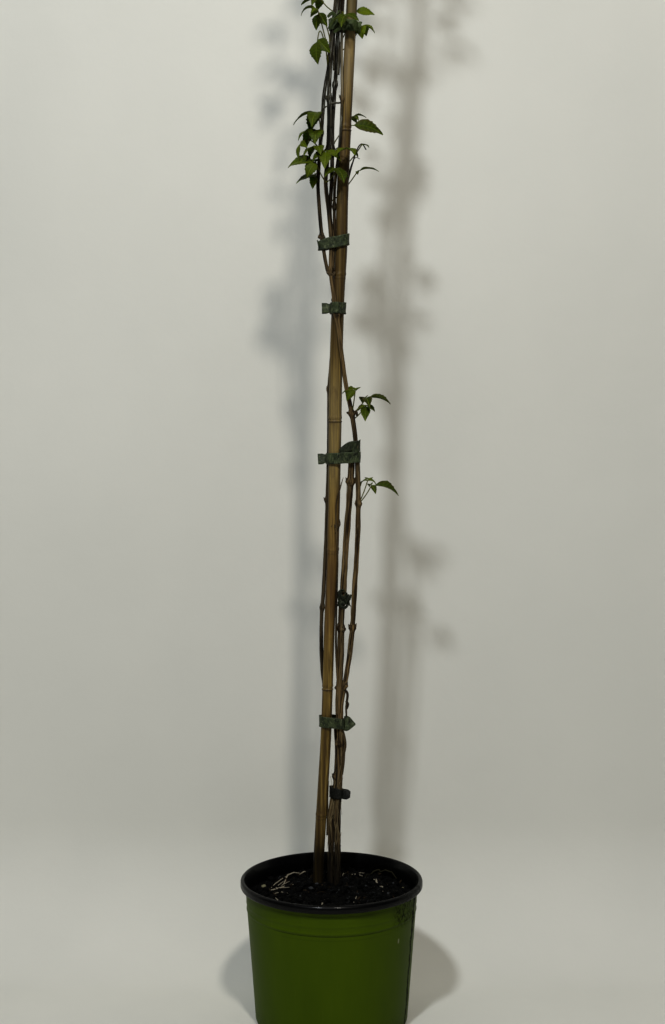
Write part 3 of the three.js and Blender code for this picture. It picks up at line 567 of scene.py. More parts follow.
def litter_form():
    """Crumbs, chips, grit and roots, as one layer that lies on the soil."""
    form = Form()
    for _ in range(CRUMBS):
        x, y = scatter()
        size = random.choice((0.8, 1, 1.2, 1.6, 2.2, 3))
        flat = [size * random.uniform(0.7, 1.2) for _ in range(3)]
        clod(form, Vector((x, y, soil_top(x, y) + size * 0.3)), flat, 0.7, PEAT + random.uniform(0, 0.3))
    for _ in range(CHIPS):
        x, y = scatter()
        size = (random.uniform(2.5, 5), random.uniform(1.4, 2.2), random.uniform(0.5, 0.9))
        clod(form, Vector((x, y, soil_top(x, y) + 1)), size, 0.5, BARK)
    for x, y, size, kind in GRITS:
        clod(form, Vector((x, y, soil_top(x, y) + size * 0.5)), (size, size * 0.8, size * 0.7), 0.5, kind)
    for _ in range(FIBRES):
        x, y = scatter(78)
        turn, length = random.uniform(0, 2 * math.pi), random.uniform(3, 11)
        bend = turn + random.uniform(-0.9, 0.9)
        route = [(x, y, 0),
                 (x + length * math.cos(turn) / 2, y + length * math.sin(turn) / 2, random.uniform(0, 2)),
                 (x + length * math.cos(bend), y + length * math.sin(bend), 0)]
        if all(math.hypot(*place[:2]) < 82 for place in route):
            lay(form, route, random.uniform(0.16, 0.3), random.choice((BARK, MOSS, STONE)), sides=5)
    for route, radius, kind in ROOTS:
        lay(form, route, radius, kind, lift=0.8)
    return form


def soil_finish():
    finish = Finish("damp peat and litter")
    kind = finish.mark("kind")
    spots = finish.grain(finish.place(), 4, 4, 0.65)
    fine = finish.grain(finish.place(), 0.9, 4, 0.7)
    colour = finish.mix(spots, (1, 1, 1), (6, 6, 5))
    # Painted highlight: fine pale flecks stand in for glints on the damp peat.
    colour = finish.mix(finish.step(fine, 0.66, 0.75) * 0.25, colour, (36, 36, 34))
    looks = {
      BARK: finish.mix(fine, (22, 17, 11), (62, 50, 34)),
      GRIT: finish.mix(fine, (92, 90, 66), (150, 146, 118)),
      ROOT: finish.mix(fine, (98, 90, 76), (186, 178, 158)),
      MOSS: finish.mix(spots, (20, 19, 11), (56, 54, 36)),
      STONE: finish.mix(spots, (22, 23, 25), (78, 80, 82)),
    }
    for order, look in looks.items():
        colour = finish.mix(finish.step(kind, order - 0.5, order - 0.2), colour, look)
    finish.paint(Base_Color=colour, Roughness=0.62 + spots * 0.3,
                 Normal=finish.relief(fine + spots, 0.8, 0.9), Specular_IOR_Level=0.08)
    return finish


peat = soil_finish()
soil_form().piece("peat_soil", peat, "soil", "soil")
litter_form().piece("soil_litter", peat, "soil", "soil")

# Cane
# A bamboo cane of 1.2 m, thickest half way up. Each joint has the sharp scar of its old sheath with a low
# ridge above it, and a shallow groove runs up from it on one side. Its skin is tan with darker streaks, aged
# in its upper half and darker towards the soil, and its cut top is open. Painted shade darkens its left and
# right flanks and its top above 1014 mm.

CANE_FOOT = 14
CANE_TOP = 1212
CANE_GIRTH = [                    # height and radius
  [0, 5.8], [330, 5.6], [416, 5.7], [480, 6.2], [563, 6.5], [616, 6.9], [673, 6.9], [760, 6.3], [853, 6],
  [1014, 5.5], [1212, 5.4],
]
CANE_RIDGE = 0.6                  # how far a joint's ridge stands out
CANE_JOINTS = [72, 203, 342, 487, 625, 773, 923, 1062, 1184]
WORN_JOINTS = [203, 487, 773]     # joints whose scar is rubbed flat
CANE_ROUTE = [                    # height and x
  [0, -19], [136, -14.4], [168, -13.2], [244, -8.7], [293, -5.9], [341, -4.3], [416, -1.9], [480, 1],
  [543, 2.6], [563, 2.8], [616, 3.5], [673, 4.4], [751, 6.9], [802, 10], [853, 11.1], [924, 14.2],
  [964, 16.3], [1014, 18.9], [1054, 20.8], [1239, 26.8],
]
CANE_LEAN = [[0, 40], [128, 38], [1239, 19.5]]  # height and y
CANE_SIDES = 48
BORE_RADIUS = 3
BORE_DEPTH = 22


def row_below(rows, z):
    """Number of the row of a table that is next below a height."""
    row = 0
    while row < len(rows) - 2 and z > rows[row + 1][0]:
        row += 1
    return row


def between(rows, z, column=1):
    """Value of a table of rows at a height, on straight lines between the rows."""
    row = row_below(rows, z)
    low, high = rows[row], rows[row + 1]
    part = min(1, max(0, (z - low[0]) / (high[0] - low[0])))
    return low[column] + (high[column] - low[column]) * part


def smooth(rows, z, column=1):
    """The same on a smooth curve through the rows."""
    row = row_below(rows, z)
    low, high = rows[row], rows[row + 1]
    before = rows[row - 1] if row else low
    after = rows[row + 2] if row < len(rows) - 2 else high
    span = high[0] - low[0]
    part = min(1, max(0, (z - low[0]) / span))
    start = (high[column] - before[column]) / (high[0] - before[0]) * span
    end = (after[column] - low[column]) / (after[0] - low[0]) * span
    square, cube = part ** 2, part ** 3
    return ((2 * cube - 3 * square + 1) * low[column] + (cube - 2 * square + part) * start
            + (3 * square - 2 * cube) * high[column] + (cube - square) * end)


def cane_point(z):
    return Vector((smooth(CANE_ROUTE, z), between(CANE_LEAN, z), z))


def cane_heights():
    """Heights of the cane's rings, closer at its joints."""
    heights = {CANE_FOOT, CANE_TOP}
    heights.update(z for z in range(CANE_FOOT + 3, CANE_TOP - 2, 4)
                   if all(abs(z - joint) > 9 for joint in CANE_JOINTS))
    for joint in CANE_JOINTS:
        heights.update(joint + 0.5 * step for step in range(-12, 17))
    return sorted(heights)


def cane_form():
    form = Form()
    rows = []
    for z in cane_heights():
        joint = min(CANE_JOINTS, key=lambda height: abs(height - z))
        off = z - joint
        clear = 0.3 if joint in WORN_JOINTS else 1
        scar = clear * CANE_RIDGE * bell(off, 0.75)
        ridge = 0.6 * CANE_RIDGE * bell(off - 4, 1.9)
        waist = -0.25 * clear * bell(off - 1.7, 0.8)
        groove_side = math.pi * CANE_JOINTS.index(joint) + 0.9
        marks = {"ring": clear * bell(off + 0.6, 0.9), "joint": bell(off, 9), "cut": 0.0}
        row = []
        for turn in bearings(CANE_SIDES):
            groove = bell(math.remainder(turn - groove_side, 2 * math.pi), 0.42)
            depth = 0.45 * groove * max(0, 1 - max(0, off - 4) / 70) * (off > 4)
            oval = 1 + 0.012 * math.cos(2 * turn + z / 150) + 0.006 * rough(turn * 3, z / 20, 0)
            radius = between(CANE_GIRTH, z) * oval + scar + ridge + waist - depth
            # Painted shade: side is 1 on the cane's left and right flanks, where the finish darkens the cane.
            side = max(0, abs(math.cos(turn)) - 0.6) / 0.4
            row.append(form.point(cane_point(z) + polar(radius, turn), side=side, **marks))
        rows.append(row)
    top = cane_point(CANE_TOP)
    for radius, rise in ((between(CANE_GIRTH, CANE_TOP) - 0.5, 0.1), (BORE_RADIUS + 0.3, 0.1),
                         (BORE_RADIUS, -0.4), (BORE_RADIUS - 0.1, -BORE_DEPTH)):
        rows.append([form.point(top + polar(radius, turn, rise), cut=1.0) for turn in bearings(CANE_SIDES)])
    form.tube(rows)
    return form


def cane_finish():
    finish = Finish("bamboo skin")
    z = finish.axis(2)
    streak = finish.grain(finish.place(0.02), 1.7, 5, 0.65)
    wide = finish.grain(finish.place(0.02), 4, 3, 0.5)
    blotch = finish.grain(finish.place(0.35), 9, 4, 0.6, 0.6)
    pores = finish.grain(finish.place(0.12), 0.7, 3, 0.6)
    bleached = finish.span(z, 520, 590, 640, 710)
    aged = finish.span(z, 670, 740, 905, 985)
    ruddy = finish.span(z, 360, 420, 520, 570)
    top = finish.step(z, 930, 990)
    # Painted shade: the cane is darker and olive above 1014 mm, under the leaves round the top tie.
    shaded_top = finish.step(z, 1014, 1030)
    # Darker towards the soil, with a ragged upper edge.
    darker_near_soil = finish.fade(z + blotch * 40, 176, 226)
    colour = finish.coats(
        finish.mix(finish.step(wide, 0.34, 0.66), (84, 66, 28), (142, 119, 60)),
        (finish.step(streak, 0.42, 0.62) * 0.75, (54, 38, 16)),
        (bleached * 0.4, (150, 134, 92)),
        (aged * 0.55, (54, 42, 26)),
        (ruddy * 0.3, (104, 74, 46)),
        (top * 0.5, (134, 120, 92)),
        # painted shade above 1014 mm
        (shaded_top * 0.6, (58, 54, 22)),
        (finish.step(blotch, 0.56, 0.74) * 0.5, (62, 46, 26)),
        (finish.step(pores, 0.66, 0.74) * 0.5, (50, 36, 20)),
        # painted shade down the cane's left and right flanks
        (finish.mark("side") * finish.step(streak, 0.3, 0.6) * 0.7, (34, 25, 12)),
        (finish.mark("joint") * finish.step(blotch, 0.35, 0.7) * 0.55, (70, 52, 30)),
        (finish.mark("ring") * 0.75, (38, 26, 14)),
        (darker_near_soil * 0.9, (20, 16, 9)),
        (finish.mark("cut"), finish.mix(streak, (120, 100, 66), (164, 146, 106))))
    finish.paint(Base_Color=colour, Roughness=0.34 + blotch * 0.2 + streak * 0.1,
                 Normal=finish.relief(streak * 0.6 + pores * 0.25 + blotch * 0.5, 0.3, 0.7),
                 Specular_IOR_Level=0.22)
    return finish


cane_form().piece("bamboo_cane", cane_finish(), "cane", "cane")

# Stems
# Two woody vines grow from the soil and wind up the cane. The right one forks into thinner shoots higher up.
# The bark is brown and ribbed, peels in tan strings near the soil and is greyer near the top. The joints are
# swollen, with a pair of buds or leaves.

STEP = 30                         # height between the places that a stem runs through
STEM_SIDES = 16
JOINT_SWELL = 1.35                # of a stem's radius
CLEARANCE = 0.35                  # between stems that run side by side
CLEAR_ROUNDS = 30
RING_GAP = 2.5                    # between the rings of a stem
LEAF_ROOM = 12                    # how far from a leaf or a tie a joint has buds
TIE_ROOM = 13
STRANDS = {                       # rows start with a height; a route has x, and y from the middle of the cane
  "left": {
    "girth": [[84, 3.1], [226, 3], [325, 2], [844, 1.6], [1234, 1.1]],
    "bends": [299, 314],
    "joints": [246, 429, 542, 658, 751, 846, 954, 1081, 1163],
    "dark": [[84, 0.7], [190, 0.6], [240, 0.75], [262, 0.4], [290, 0.4], [330, 1], [620, 1], [680, 0.5],
             [820, 0.5], [900, 0.85], [935, 0.8], [960, 0.1], [1010, 0], [1050, 0.4]],
    "route": [
      [84, -2, 1], [135, -0.9, -0.5], [168, -0.5, -0.2], [205, -0.3, 1], [228, 2, 4.5], [243, 5, 6.8],
      [265, 6, 7.2], [285, 5.8, 7.4], [299, 4.6, 8], [314, -4, 9.3], [339, -6.4, 8.8], [354, -8.6, 6.8],
      [373, -10.5, 3], [394, -10.4, 2], [429, -10.3, 3], [448, -8.4, 3.5], [480, -6.7, 3.5],
      [522, -4.4, 5], [543, -3.8, 5.5], [605, -2.4, 6], [658, -2.1, 6.5], [710, 1, 8], [751, 2.5, 8],
      [788, 1.5, 6.5], [804, 3.5, 5], [829, 4, 4], [853, 4.2, 2], [893, 7.5, -4.5], [924, 9.5, -6.2],
      [964, 11.1, -6], [1004, 10.1, -3], [1053, 12.1, -2], [1087, 15.5, -6], [1127, 22, -8.5],
      [1163, 30, -6], [1198, 36, -4], [1234, 41, -8],
    ],
  },
  "right": {
    "girth": [[84, 3.4], [230, 3.4], [293, 3.4], [603, 3.2]],
    "joints": [284, 407, 562],
    "dark": [[84, 0.7], [190, 0.55], [240, 0.8], [262, 0.25], [300, 0.15], [400, 0.3], [500, 0.2],
             [603, 0.5]],
    "route": [
      [84, 5.6, -1], [135, 5.6, -1.5], [168, 6.2, -1.5], [223, 6.4, -0.8], [244, 8, 0], [266, 9, 0],
      [293, 9, -1], [318, 7.9, -3], [341, 7.5, -3], [362, 9, -3], [394, 9.9, -2], [407, 9.5, -2],
      [448, 12.3, -1], [501, 15.4, -1], [542, 18.5, -1], [581, 20.9, -1], [603, 21.3, -1],
    ],
  },
  "outer": {
    "parent": "right", "free": 356, "turned": 90,
    "girth": [[309, 2.4], [341, 2.6], [539, 2.6], [643, 2.3], [734, 2.3], [802, 2.1], [1053, 2],
              [1292, 1.1]],
    "joints": [347, 408, 539, 633, 734, 781, 904, 954, 1071, 1147, 1229],
    "dark": [[309, 0.2], [500, 0.1], [560, 0.5], [650, 0.4], [720, 0.3], [860, 0.8], [960, 0.9], [1040, 0.6],
             [1150, 0.2]],
    "route": [
      [309, 9.5, -3], [341, 11.6, -4], [373, 17.7, -3], [394, 20.8, -2], [408, 22.2, -2], [448, 24.1, -1],
      [469, 25.6, -1], [522, 28, -1], [539, 28, -1], [563, 26.4, -2], [590, 26, -3], [610, 22.4, -5],
      [631, 21.5, -6], [663, 14.9, -6], [678, 12.9, -7], [704, 8.8, -9], [735, 5.7, -9], [761, 1.5, -6.5],
      [781, -0.7, -4], [802, 0, -3], [837, -2.6, -1], [853, -3.3, -1], [873, -6.2, -1], [888, -5.1, -1],
      [904, -3.3, -1.5], [914, -3, -2], [939, -2.6, -3], [964, -2.4, -3.4], [983, -1.4, -3],
      [1014, 1.2, -2.4], [1053, 7.6, -2], [1097, 11, -3], [1147, 15.5, -2.5], [1198, 19, -5],
      [1239, 22, -2], [1292, 25, 2],
    ],
  },
  "twin": {
    "parent": "outer", "free": 822,
    "girth": [[780, 2], [1014, 2.1], [1261, 1.1]],
    "joints": [904, 969, 1117, 1203],
    "dark": [[780, 0.5], [860, 0.8], [990, 0.7], [1040, 0.5], [1150, 0.2]],
    "route": [
      [780, 0.2, -4.2], [794, 1.6, -2], [809, 2, -0.4], [829, 1.8, 2.2], [853, 0.7, 3], [873, 0, 2.5],
      [904, 0.4, 2], [914, 0.4, 2], [954, 2.4, 3], [983, 4.8, 3], [1014, 6, 2], [1053, 9.6, 3],
      [1097, 14, 6], [1137, 19, 8.5], [1178, 27, 8.5], [1213, 33, 9], [1261, 36, 14],
    ],
  },
  "side": {
    "parent": "outer", "free": 800,
    "girth": [[776, 1.9], [1014, 1.9], [1053, 1.7], [1267, 1.1]],
    "joints": [815, 920, 995, 1097, 1188],
    "dark": [[776, 0.9], [850, 0.8], [930, 0.7], [1040, 0.7], [1150, 0.2]],
    "route": [
      [776, -0.7, -4.2], [785, -2.3, -4], [802, -6.8, -3], [815, -10.4, -2], [853, -12.9, -1],
      [873, -13.9, -1], [904, -11.8, -1], [926, -10, -1], [964, -7, -1], [983, -2.9, 0], [1014, 0, 0],
      [1053, 4, 1], [1092, 6, 2], [1137, 8, 5], [1178, 8, 8], [1224, 3, 12], [1267, -6, 15],
    ],
  },
  "thread": {
    "parent": "right", "free": 370,
    "girth": [[340, 1.2], [494, 0.9], [567, 0.8]],
    "joints": [515],
    "dark": [[340, 0.4], [567, 0.7]],
    "route": [
      [340, 7.5, -4.5], [350, 6.6, -6], [373, 5.2, -6], [394, 4.7, -6], [437, 5.2, -6], [480, 6.3, -6],
      [515, 4.7, -7], [535, 4.3, -7.2], [558, 9.6, -6], [567, 12.2, -6],
    ],
  },
}


def strand_rows(plan):
    """Places that a stem runs through: height, x and y."""
    route = plan["route"]
    foot, head = route[0][0], route[-1][0]
    heights = list(range(math.ceil(foot / STEP) * STEP, head, STEP))
    if heights[0] - foot > 2:
        heights.insert(0, foot)
    if head - heights[-1] > 2:
        heights.append(head)
    heights = sorted(heights + plan.get("bends", []))
    return [[z, smooth(route, z), between(CANE_LEAN, z) + smooth(route, z, 2)] for z in heights]


def reach(strand, z):
    """Radius of a strand at a height, with room for the swelling of a joint nearby."""
    near = any(abs(joint - z) < 16 for joint in strand["joints"])
    return between(strand["girth"], z) * (JOINT_SWELL if near else 1)


def fused(strand, other, z):
    """Whether two stems are still one at a height, below their fork."""
    return ((strand.get("parent") == other["name"] and z < strand["free"])
            or (other.get("parent") == strand["name"] and z < other["free"]))


def bend_clear(strand, others):
    """Moves a strand's places out of the strands that it runs beside."""
    for _ in range(CLEAR_ROUNDS):
        for row in strand["rows"]:
            for other in others:
                z = row[0]
                if z < other["rows"][0][0] or z > other["rows"][-1][0] or fused(strand, other, z):
                    continue
                dx, dy = row[1] - between(other["rows"], z), row[2] - between(other["rows"], z, 2)
                apart = math.hypot(dx, dy)
                push = (reach(strand, z) + reach(other, z) + CLEARANCE - apart) / apart
                if push > 0:
                    row[1] += dx * push
                    row[2] += dy * push


cane_strand = {"name": "cane", "joints": [],
               "girth": [[z, radius + CANE_RIDGE / 2] for z, radius in CANE_GIRTH],
               "rows": [[z, cane_point(z).x, cane_point(z).y] for z in range(0, CANE_TOP + STEP + 1, STEP)]}
strands = {}
for name, plan in STRANDS.items():
    strand = {**plan, "name": name, "rows": strand_rows(plan)}
    bend_clear(strand, [cane_strand, *strands.values()])
    strands[name] = strand


def strand_point(strand, z):
    return Vector((smooth(strand["rows"], z), smooth(strand["rows"], z, 2), z))


def swelling(strand, z):
    """How much thicker a stem is near a joint, with the raised rim of old leaf feet above it."""
    more = 1
    for joint in strand["joints"]:
        off = z - joint
        more += 0.4 * bell(off, 3) + 0.12 * bell(off - 3.2, 0.9)
    return more


def pair_turn(strand, order):
    """Bearing of the pair of leaves at a joint. It turns by a quarter from joint to joint."""
    return math.radians(35 + 90 * order + strand.get("turned", 0))


def stem_tube(form, name):
    """One ribbed stem, swollen at its joints and drawn to a soft tip."""
    strand = strands[name]
    foot, head = strand["rows"][0][0], strand["rows"][-1][0]
    heights = {foot + RING_GAP * step for step in range(int((head - foot) / RING_GAP))} | {head}
    for joint in strand["joints"]:
        heights = {z for z in heights if abs(z - joint) > 5.2} | {joint + step for step in range(-5, 6)}
    heights = sorted(heights)
    path = [strand_point(strand, z) for z in heights]
    shift = len(name) * 7.3           # makes each stem's bark its own
    radii = []
    for z in heights:
        uneven = 1 + 0.07 * rough(z / 14, shift, 0)
        tip = min(1, 0.25 + (head - z) / 16) if name != "right" else 1
        radii.append(between(strand["girth"], z) * swelling(strand, z) * uneven * tip)

    def ribs(ring, turn):
        z = heights[ring]
        wood = max(0.25, min(1, (900 - z) / 500))
        twist = turn + z / 60 + shift
        flute = 0.07 * math.cos(6 * twist) + 0.045 * math.cos(11 * twist + 1)
        knots = 0.05 * rough(3 * math.cos(turn), 3 * math.sin(turn), z / 9 + shift)
        for order, joint in enumerate(strand["joints"]):
            lobe = math.cos(turn - pair_turn(strand, order)) ** 4
            knots += 0.36 * lobe * bell(z - joint, 2)
        return 1 + wood * flute + knots

    rows = bent_tube(form, path, radii, STEM_SIDES, ribs, dark=0.0)
    for row, z in zip(rows, heights):
        for corner in row:
            form.marks["dark"][corner] = between(strand["dark"], z)


def crowds(other, point):
    """Whether a point is in or close to a stem or the cane."""
    if point.z < other["rows"][0][0] or point.z > other["rows"][-1][0]:
        return False
    x, y = between(other["rows"], point.z), between(other["rows"], point.z, 2)
    return math.hypot(point.x - x, point.y - y) < reach(other, point.z) + 1.5


def bud(form, foot, outward, size):
    """A pointed bud that leans up against its stem."""
    path, radii = [], []
    for step in range(8):
        part = step / 7
        rise = size * part * (0.55 + 0.45 * part)
        path.append(foot + outward * size * (0.75 * part) + Vector((0, 0, rise)))
        radii.append(size * (0.24 + 0.12 * math.sin(math.pi * min(1, part * 1.35))) * (1 - part ** 3) + 0.12)
    bent_tube(form, path, radii, 8, dark=0.9)


def buds(form, name):
    """A pair of buds at each joint that has no leaf and no tie, a quarter turned from joint to joint."""
    strand = strands[name]
    others = [cane_strand] + [other for other in strands.values() if other is not strand]
    for order, joint in enumerate(strand["joints"]):
        leafy = any(leaf[0] == name and abs(leaf[1] - joint) < LEAF_ROOM for leaf in LEAVES)
        if leafy or any(abs(tie["z"] - joint) < TIE_ROOM for tie in TIES):
            continue
        radius = between(strand["girth"], joint)
        for half in (0, math.pi):
            turn = pair_turn(strand, order) + half
            outward = polar(1, turn)
            foot = strand_point(strand, joint) + outward * radius * 0.8
            tip = strand_point(strand, joint) + outward * (radius * JOINT_SWELL + 1)
            tip.z = joint + 4.5
            if not any(crowds(other, tip) for other in others):
                bud(form, foot, outward, 2.4 + radius * 0.8)


def bark_string(form, name, low, high, turn, sweep, width, loose):
    """A string of old bark that runs up a stem and stands off at its ends."""
    strand = strands[name]
    steps = max(4, int((high - low) / 3))
    rows = []
    for step in range(steps + 1):
        part = step / steps
        z = low + (high - low) * part
        angle = turn + sweep * part + 0.25 * math.sin(part * 9 + low)
        outward = polar(1, angle)
        across = Vector((-outward.y, outward.x, 0.12))
        head_off = loose * (max(0, part - 0.7) / 0.3) ** 2
        foot_off = 0.5 * loose * (max(0, 0.2 - part) / 0.2) ** 2
        off = between(strand["girth"], z) + 0.25 + head_off + foot_off
        centre = strand_point(strand, z) + outward * off
        half = width * (0.35 + 0.65 * math.sin(math.pi * (0.06 + 0.88 * part))) / 2
        corners = [(-half, -0.12), (-half * 0.4, 0.16), (half * 0.4, 0.16), (half, -0.12), (0, -0.16)]
        rows.append([form.point(centre + across * side + outward * rise, grown=(side, rise, z), peel=1.0)
                     for side, rise in corners])
    form.tube(rows)


def curve(places, parts):
    """A smooth path through a list of places, with that many parts between each two."""
    rows = [[order, *place] for order, place in enumerate(places)]
    return [Vector([smooth(rows, step / parts, column) for column in (1, 2, 3)])
            for step in range(parts * (len(places) - 1) + 1)]


def twig(form, places, radius, tip):
    """A thin dry stalk or tendril through a list of places."""
    path = curve(places, 6)
    radii = [radius * (1 + (tip - 1) * step / (len(path) - 1)) for step in range(len(path))]
    bent_tube(form, path, radii, 7, dark=0.85)


STRINGS = [                       # stem, low and high end, bearing, how far it winds, width, how loose
  ["left", 236, 290, 4.2, 0.9, 0.8, 1.2], ["right", 236, 296, 4.5, 0.8, 0.9, 1.5],
  ["right", 262, 340, 5.2, -1, 0.8, 1.3], ["right", 206, 286, 0.4, 0.7, 0.9, 2.4],
  ["right", 330, 400, 4.6, 0.7, 0.7, 1], ["outer", 380, 430, 4.4, -0.6, 0.7, 0.9],
  ["right", 410, 470, 4.9, 0.6, 0.7, 1.2], ["right", 500, 560, 4.3, -0.7, 0.7, 1],
  ["outer", 556, 600, 4.9, 0.5, 0.6, 0.9], ["left", 640, 700, 4.4, 0.6, 0.6, 0.8],
  ["left", 168, 236, 3.2, 0.2, 1.5, 2.6], ["left", 182, 246, 3.0, -0.2, 1.2, 3],
  ["left", 150, 205, 3.4, 0.3, 1.3, 1.6],
]
for _ in range(13):               # the short strings at the foot of each stem
    for name in ("left", "right"):
        low = random.uniform(134, 214)
        high = low + random.uniform(22, 52)
        ranges = [(3.2, 6.1), (-1.3, 1.3), (0.5, 1.2), (0.8, 2.8)]
        STRINGS.append([name, low, high] + [random.uniform(*part) for part in ranges])
TWIGS = [                         # stem, places, radius and how thick it ends beside that
  ["outer", [(12, 30, 344), (16.6, 27, 339), (16.2, 25, 331), (15.4, 24, 324), (15.6, 23, 315)], 1.6, 0.6],
  ["outer", [(15.4, 26, 331), (17.6, 24, 328), (16.4, 23, 323)], 1.3, 0.5],
  ["right", [(7.5, 37, 257), (10.6, 36.5, 270), (13, 36, 281), (12, 36, 291), (10, 36, 298)], 3.3, 0.8],
  ["right", [(7.5, 31.4, 342.6), (5.2, 31, 344.4), (4, 30.8, 345.4)], 2.5, 0.75],
  ["right", [(10, 37, 250), (11.8, 36.5, 263), (12.6, 36.5, 276)], 2.4, 0.9],
  ["left", [(-4.6, 38, 184), (-4.3, 37.4, 204), (-4.5, 37, 224), (-3.8, 36.5, 243)], 1.25, 0.8],
  ["outer", [(19.5, 27, 633), (17, 26, 634), (15.8, 26, 633.4)], 1.7, 0.6],
  ["outer", [(21, 24, 631), (25, 21, 635), (26.6, 20.5, 631)], 2.1, 0.6],
  ["side", [(-9, 24, 813.8), (-12.4, 23, 815), (-13.8, 22.8, 815.4)], 2.4, 0.75],
  ["side", [(-11.4, 23.4, 812.4), (-8.4, 22.6, 814.4), (-7.2, 22.8, 815.4)], 2.3, 0.75],
  ["outer", [(-0.6, 22.6, 777), (-3, 22, 778), (-4.2, 22.2, 779.4)], 2.5, 0.7],
  ["outer", [(0, 22.4, 775), (2.4, 22, 777), (3.2, 22.2, 779)], 2.2, 0.7],
  ["outer", [(-3, 21.4, 775), (0, 20.9, 777), (2.6, 21.4, 775)], 1.3, 0.8],
  ["outer", [(2.2, 21.5, 983), (2.5, 21, 998), (2.8, 21, 1016)], 1.2, 0.8],
  ["twin", [(6.4, 24, 979), (7.2, 22.6, 989), (7.5, 22.6, 1003), (6.9, 23, 1017)], 1.8, 0.8],
  ["outer", [(-0.6, 21.2, 925), (-0.4, 20.8, 943), (-0.3, 20.8, 960)], 1, 0.7],
  ["side", [(-8.6, 22, 943), (-6, 19.5, 946), (-3.4, 18.5, 946)], 0.8, 0.7],
  ["outer", [(-2, 21, 948.5), (3, 20.5, 950), (7.8, 20, 950), (10.8, 19, 951)], 1.2, 0.7],
  ["outer", [(-7, 21.5, 903), (-3, 20, 901.5), (2, 19, 902), (7, 17.5, 904.5)], 1.3, 0.5],
  ["twin", [(12, 40, 852), (17, 30, 873), (21, 25, 888), (26, 23, 903), (31, 22, 909), (35.5, 22, 903)],
   0.95, 0.6],
  ["twin", [(14, 38, 862), (19, 27, 884), (24, 24, 895), (29, 23, 894)], 0.7, 0.5],
  ["thread", [(6, 28, 514), (2.5, 26, 518), (-0.5, 26, 515)], 1, 0.5],
  ["thread", [(4.5, 28, 518), (6.5, 25.5, 513), (4, 26, 508)], 1.2, 0.6],
  ["thread", [(5, 28, 512), (8.6, 27, 517), (8.2, 27.5, 523)], 1.1, 0.5],
]

# The ties and the leaves are listed here, because a joint under a tie or with leaves has no buds.
TIES = [                          # ends is the bearing of a tie's two ends, and tab how far they stand out
  {"name": "tie_foot", "z": 230, "holds": ["left", "right"], "cane": False, "slope": -0.08, "ends": -18,
   "tab": 8, "dark": 0.97, "tail": (0.9, 0.92, 0.92, 0.9, 0.88, 0.74, 0.55)},
  {"name": "tie_low", "z": 306, "holds": ["left", "right", "outer"], "cane": True, "slope": -0.1, "ends": 4,
   "tab": 12, "tail": (1.25, 1.35, 1.35, 1.15, 0.82, 0.45, 0.08)},
  {"name": "tie_twist", "z": 438, "holds": ["right"], "cane": False, "slope": 0.1, "ends": -55, "tab": 6,
   "dark": 0.6, "crumple": 2.4,
   "scraps": [[(7, 27, 440), (8.5, 25.5, 446), (11.5, 25, 449), (14, 26.5, 446)],
              [(14, 26, 437), (18, 25, 439), (20.5, 25.5, 444)],
              [(8, 26, 433), (13, 24.5, 430), (18, 25, 433), (20, 26, 431)],
              [(9, 26, 444), (13, 25, 440), (16, 25.5, 446)]]},
  {"name": "tie_middle", "z": 588, "holds": ["left", "right", "outer"], "cane": True, "slope": 0.06,
   "ends": 175, "tab": 8, "turn": {"z": 598, "holds": ["right", "outer"], "slope": 0.55, "dark": 0.3},
   "fold": [(8.4, 22.6, 593.8), (13.5, 21.8, 596.6), (20, 21.3, 599.4), (27.6, 22.2, 600)]},
  {"name": "tie_upper", "z": 742, "holds": ["left", "outer"], "cane": True, "slope": 0, "ends": 185,
   "tab": 8},
  {"name": "tie_high", "z": 807, "holds": ["left", "twin", "outer", "side"], "cane": True, "slope": 0.2,
   "ends": 205, "tab": 0.4},
  {"name": "tie_top", "z": 1029, "holds": ["left", "twin", "outer", "side"], "cane": True, "slope": -0.1,
   "ends": -14, "tab": 3, "crumple": 1.5,
   "scraps": [[(-3, 20, 1024), (1, 17, 1030), (5, 16.5, 1036), (8, 18, 1042)],
              [(2, 18, 1020), (8, 15.5, 1024), (13, 15, 1031), (17, 15, 1030)],
              [(-4, 20, 1036), (1, 17, 1039), (6, 17, 1034), (11, 15.5, 1038)]]},
  {"name": "tie_crown", "z": 1137, "holds": ["left", "twin", "outer", "side"], "cane": True, "slope": 0.05,
   "ends": 200, "tab": 8},
]
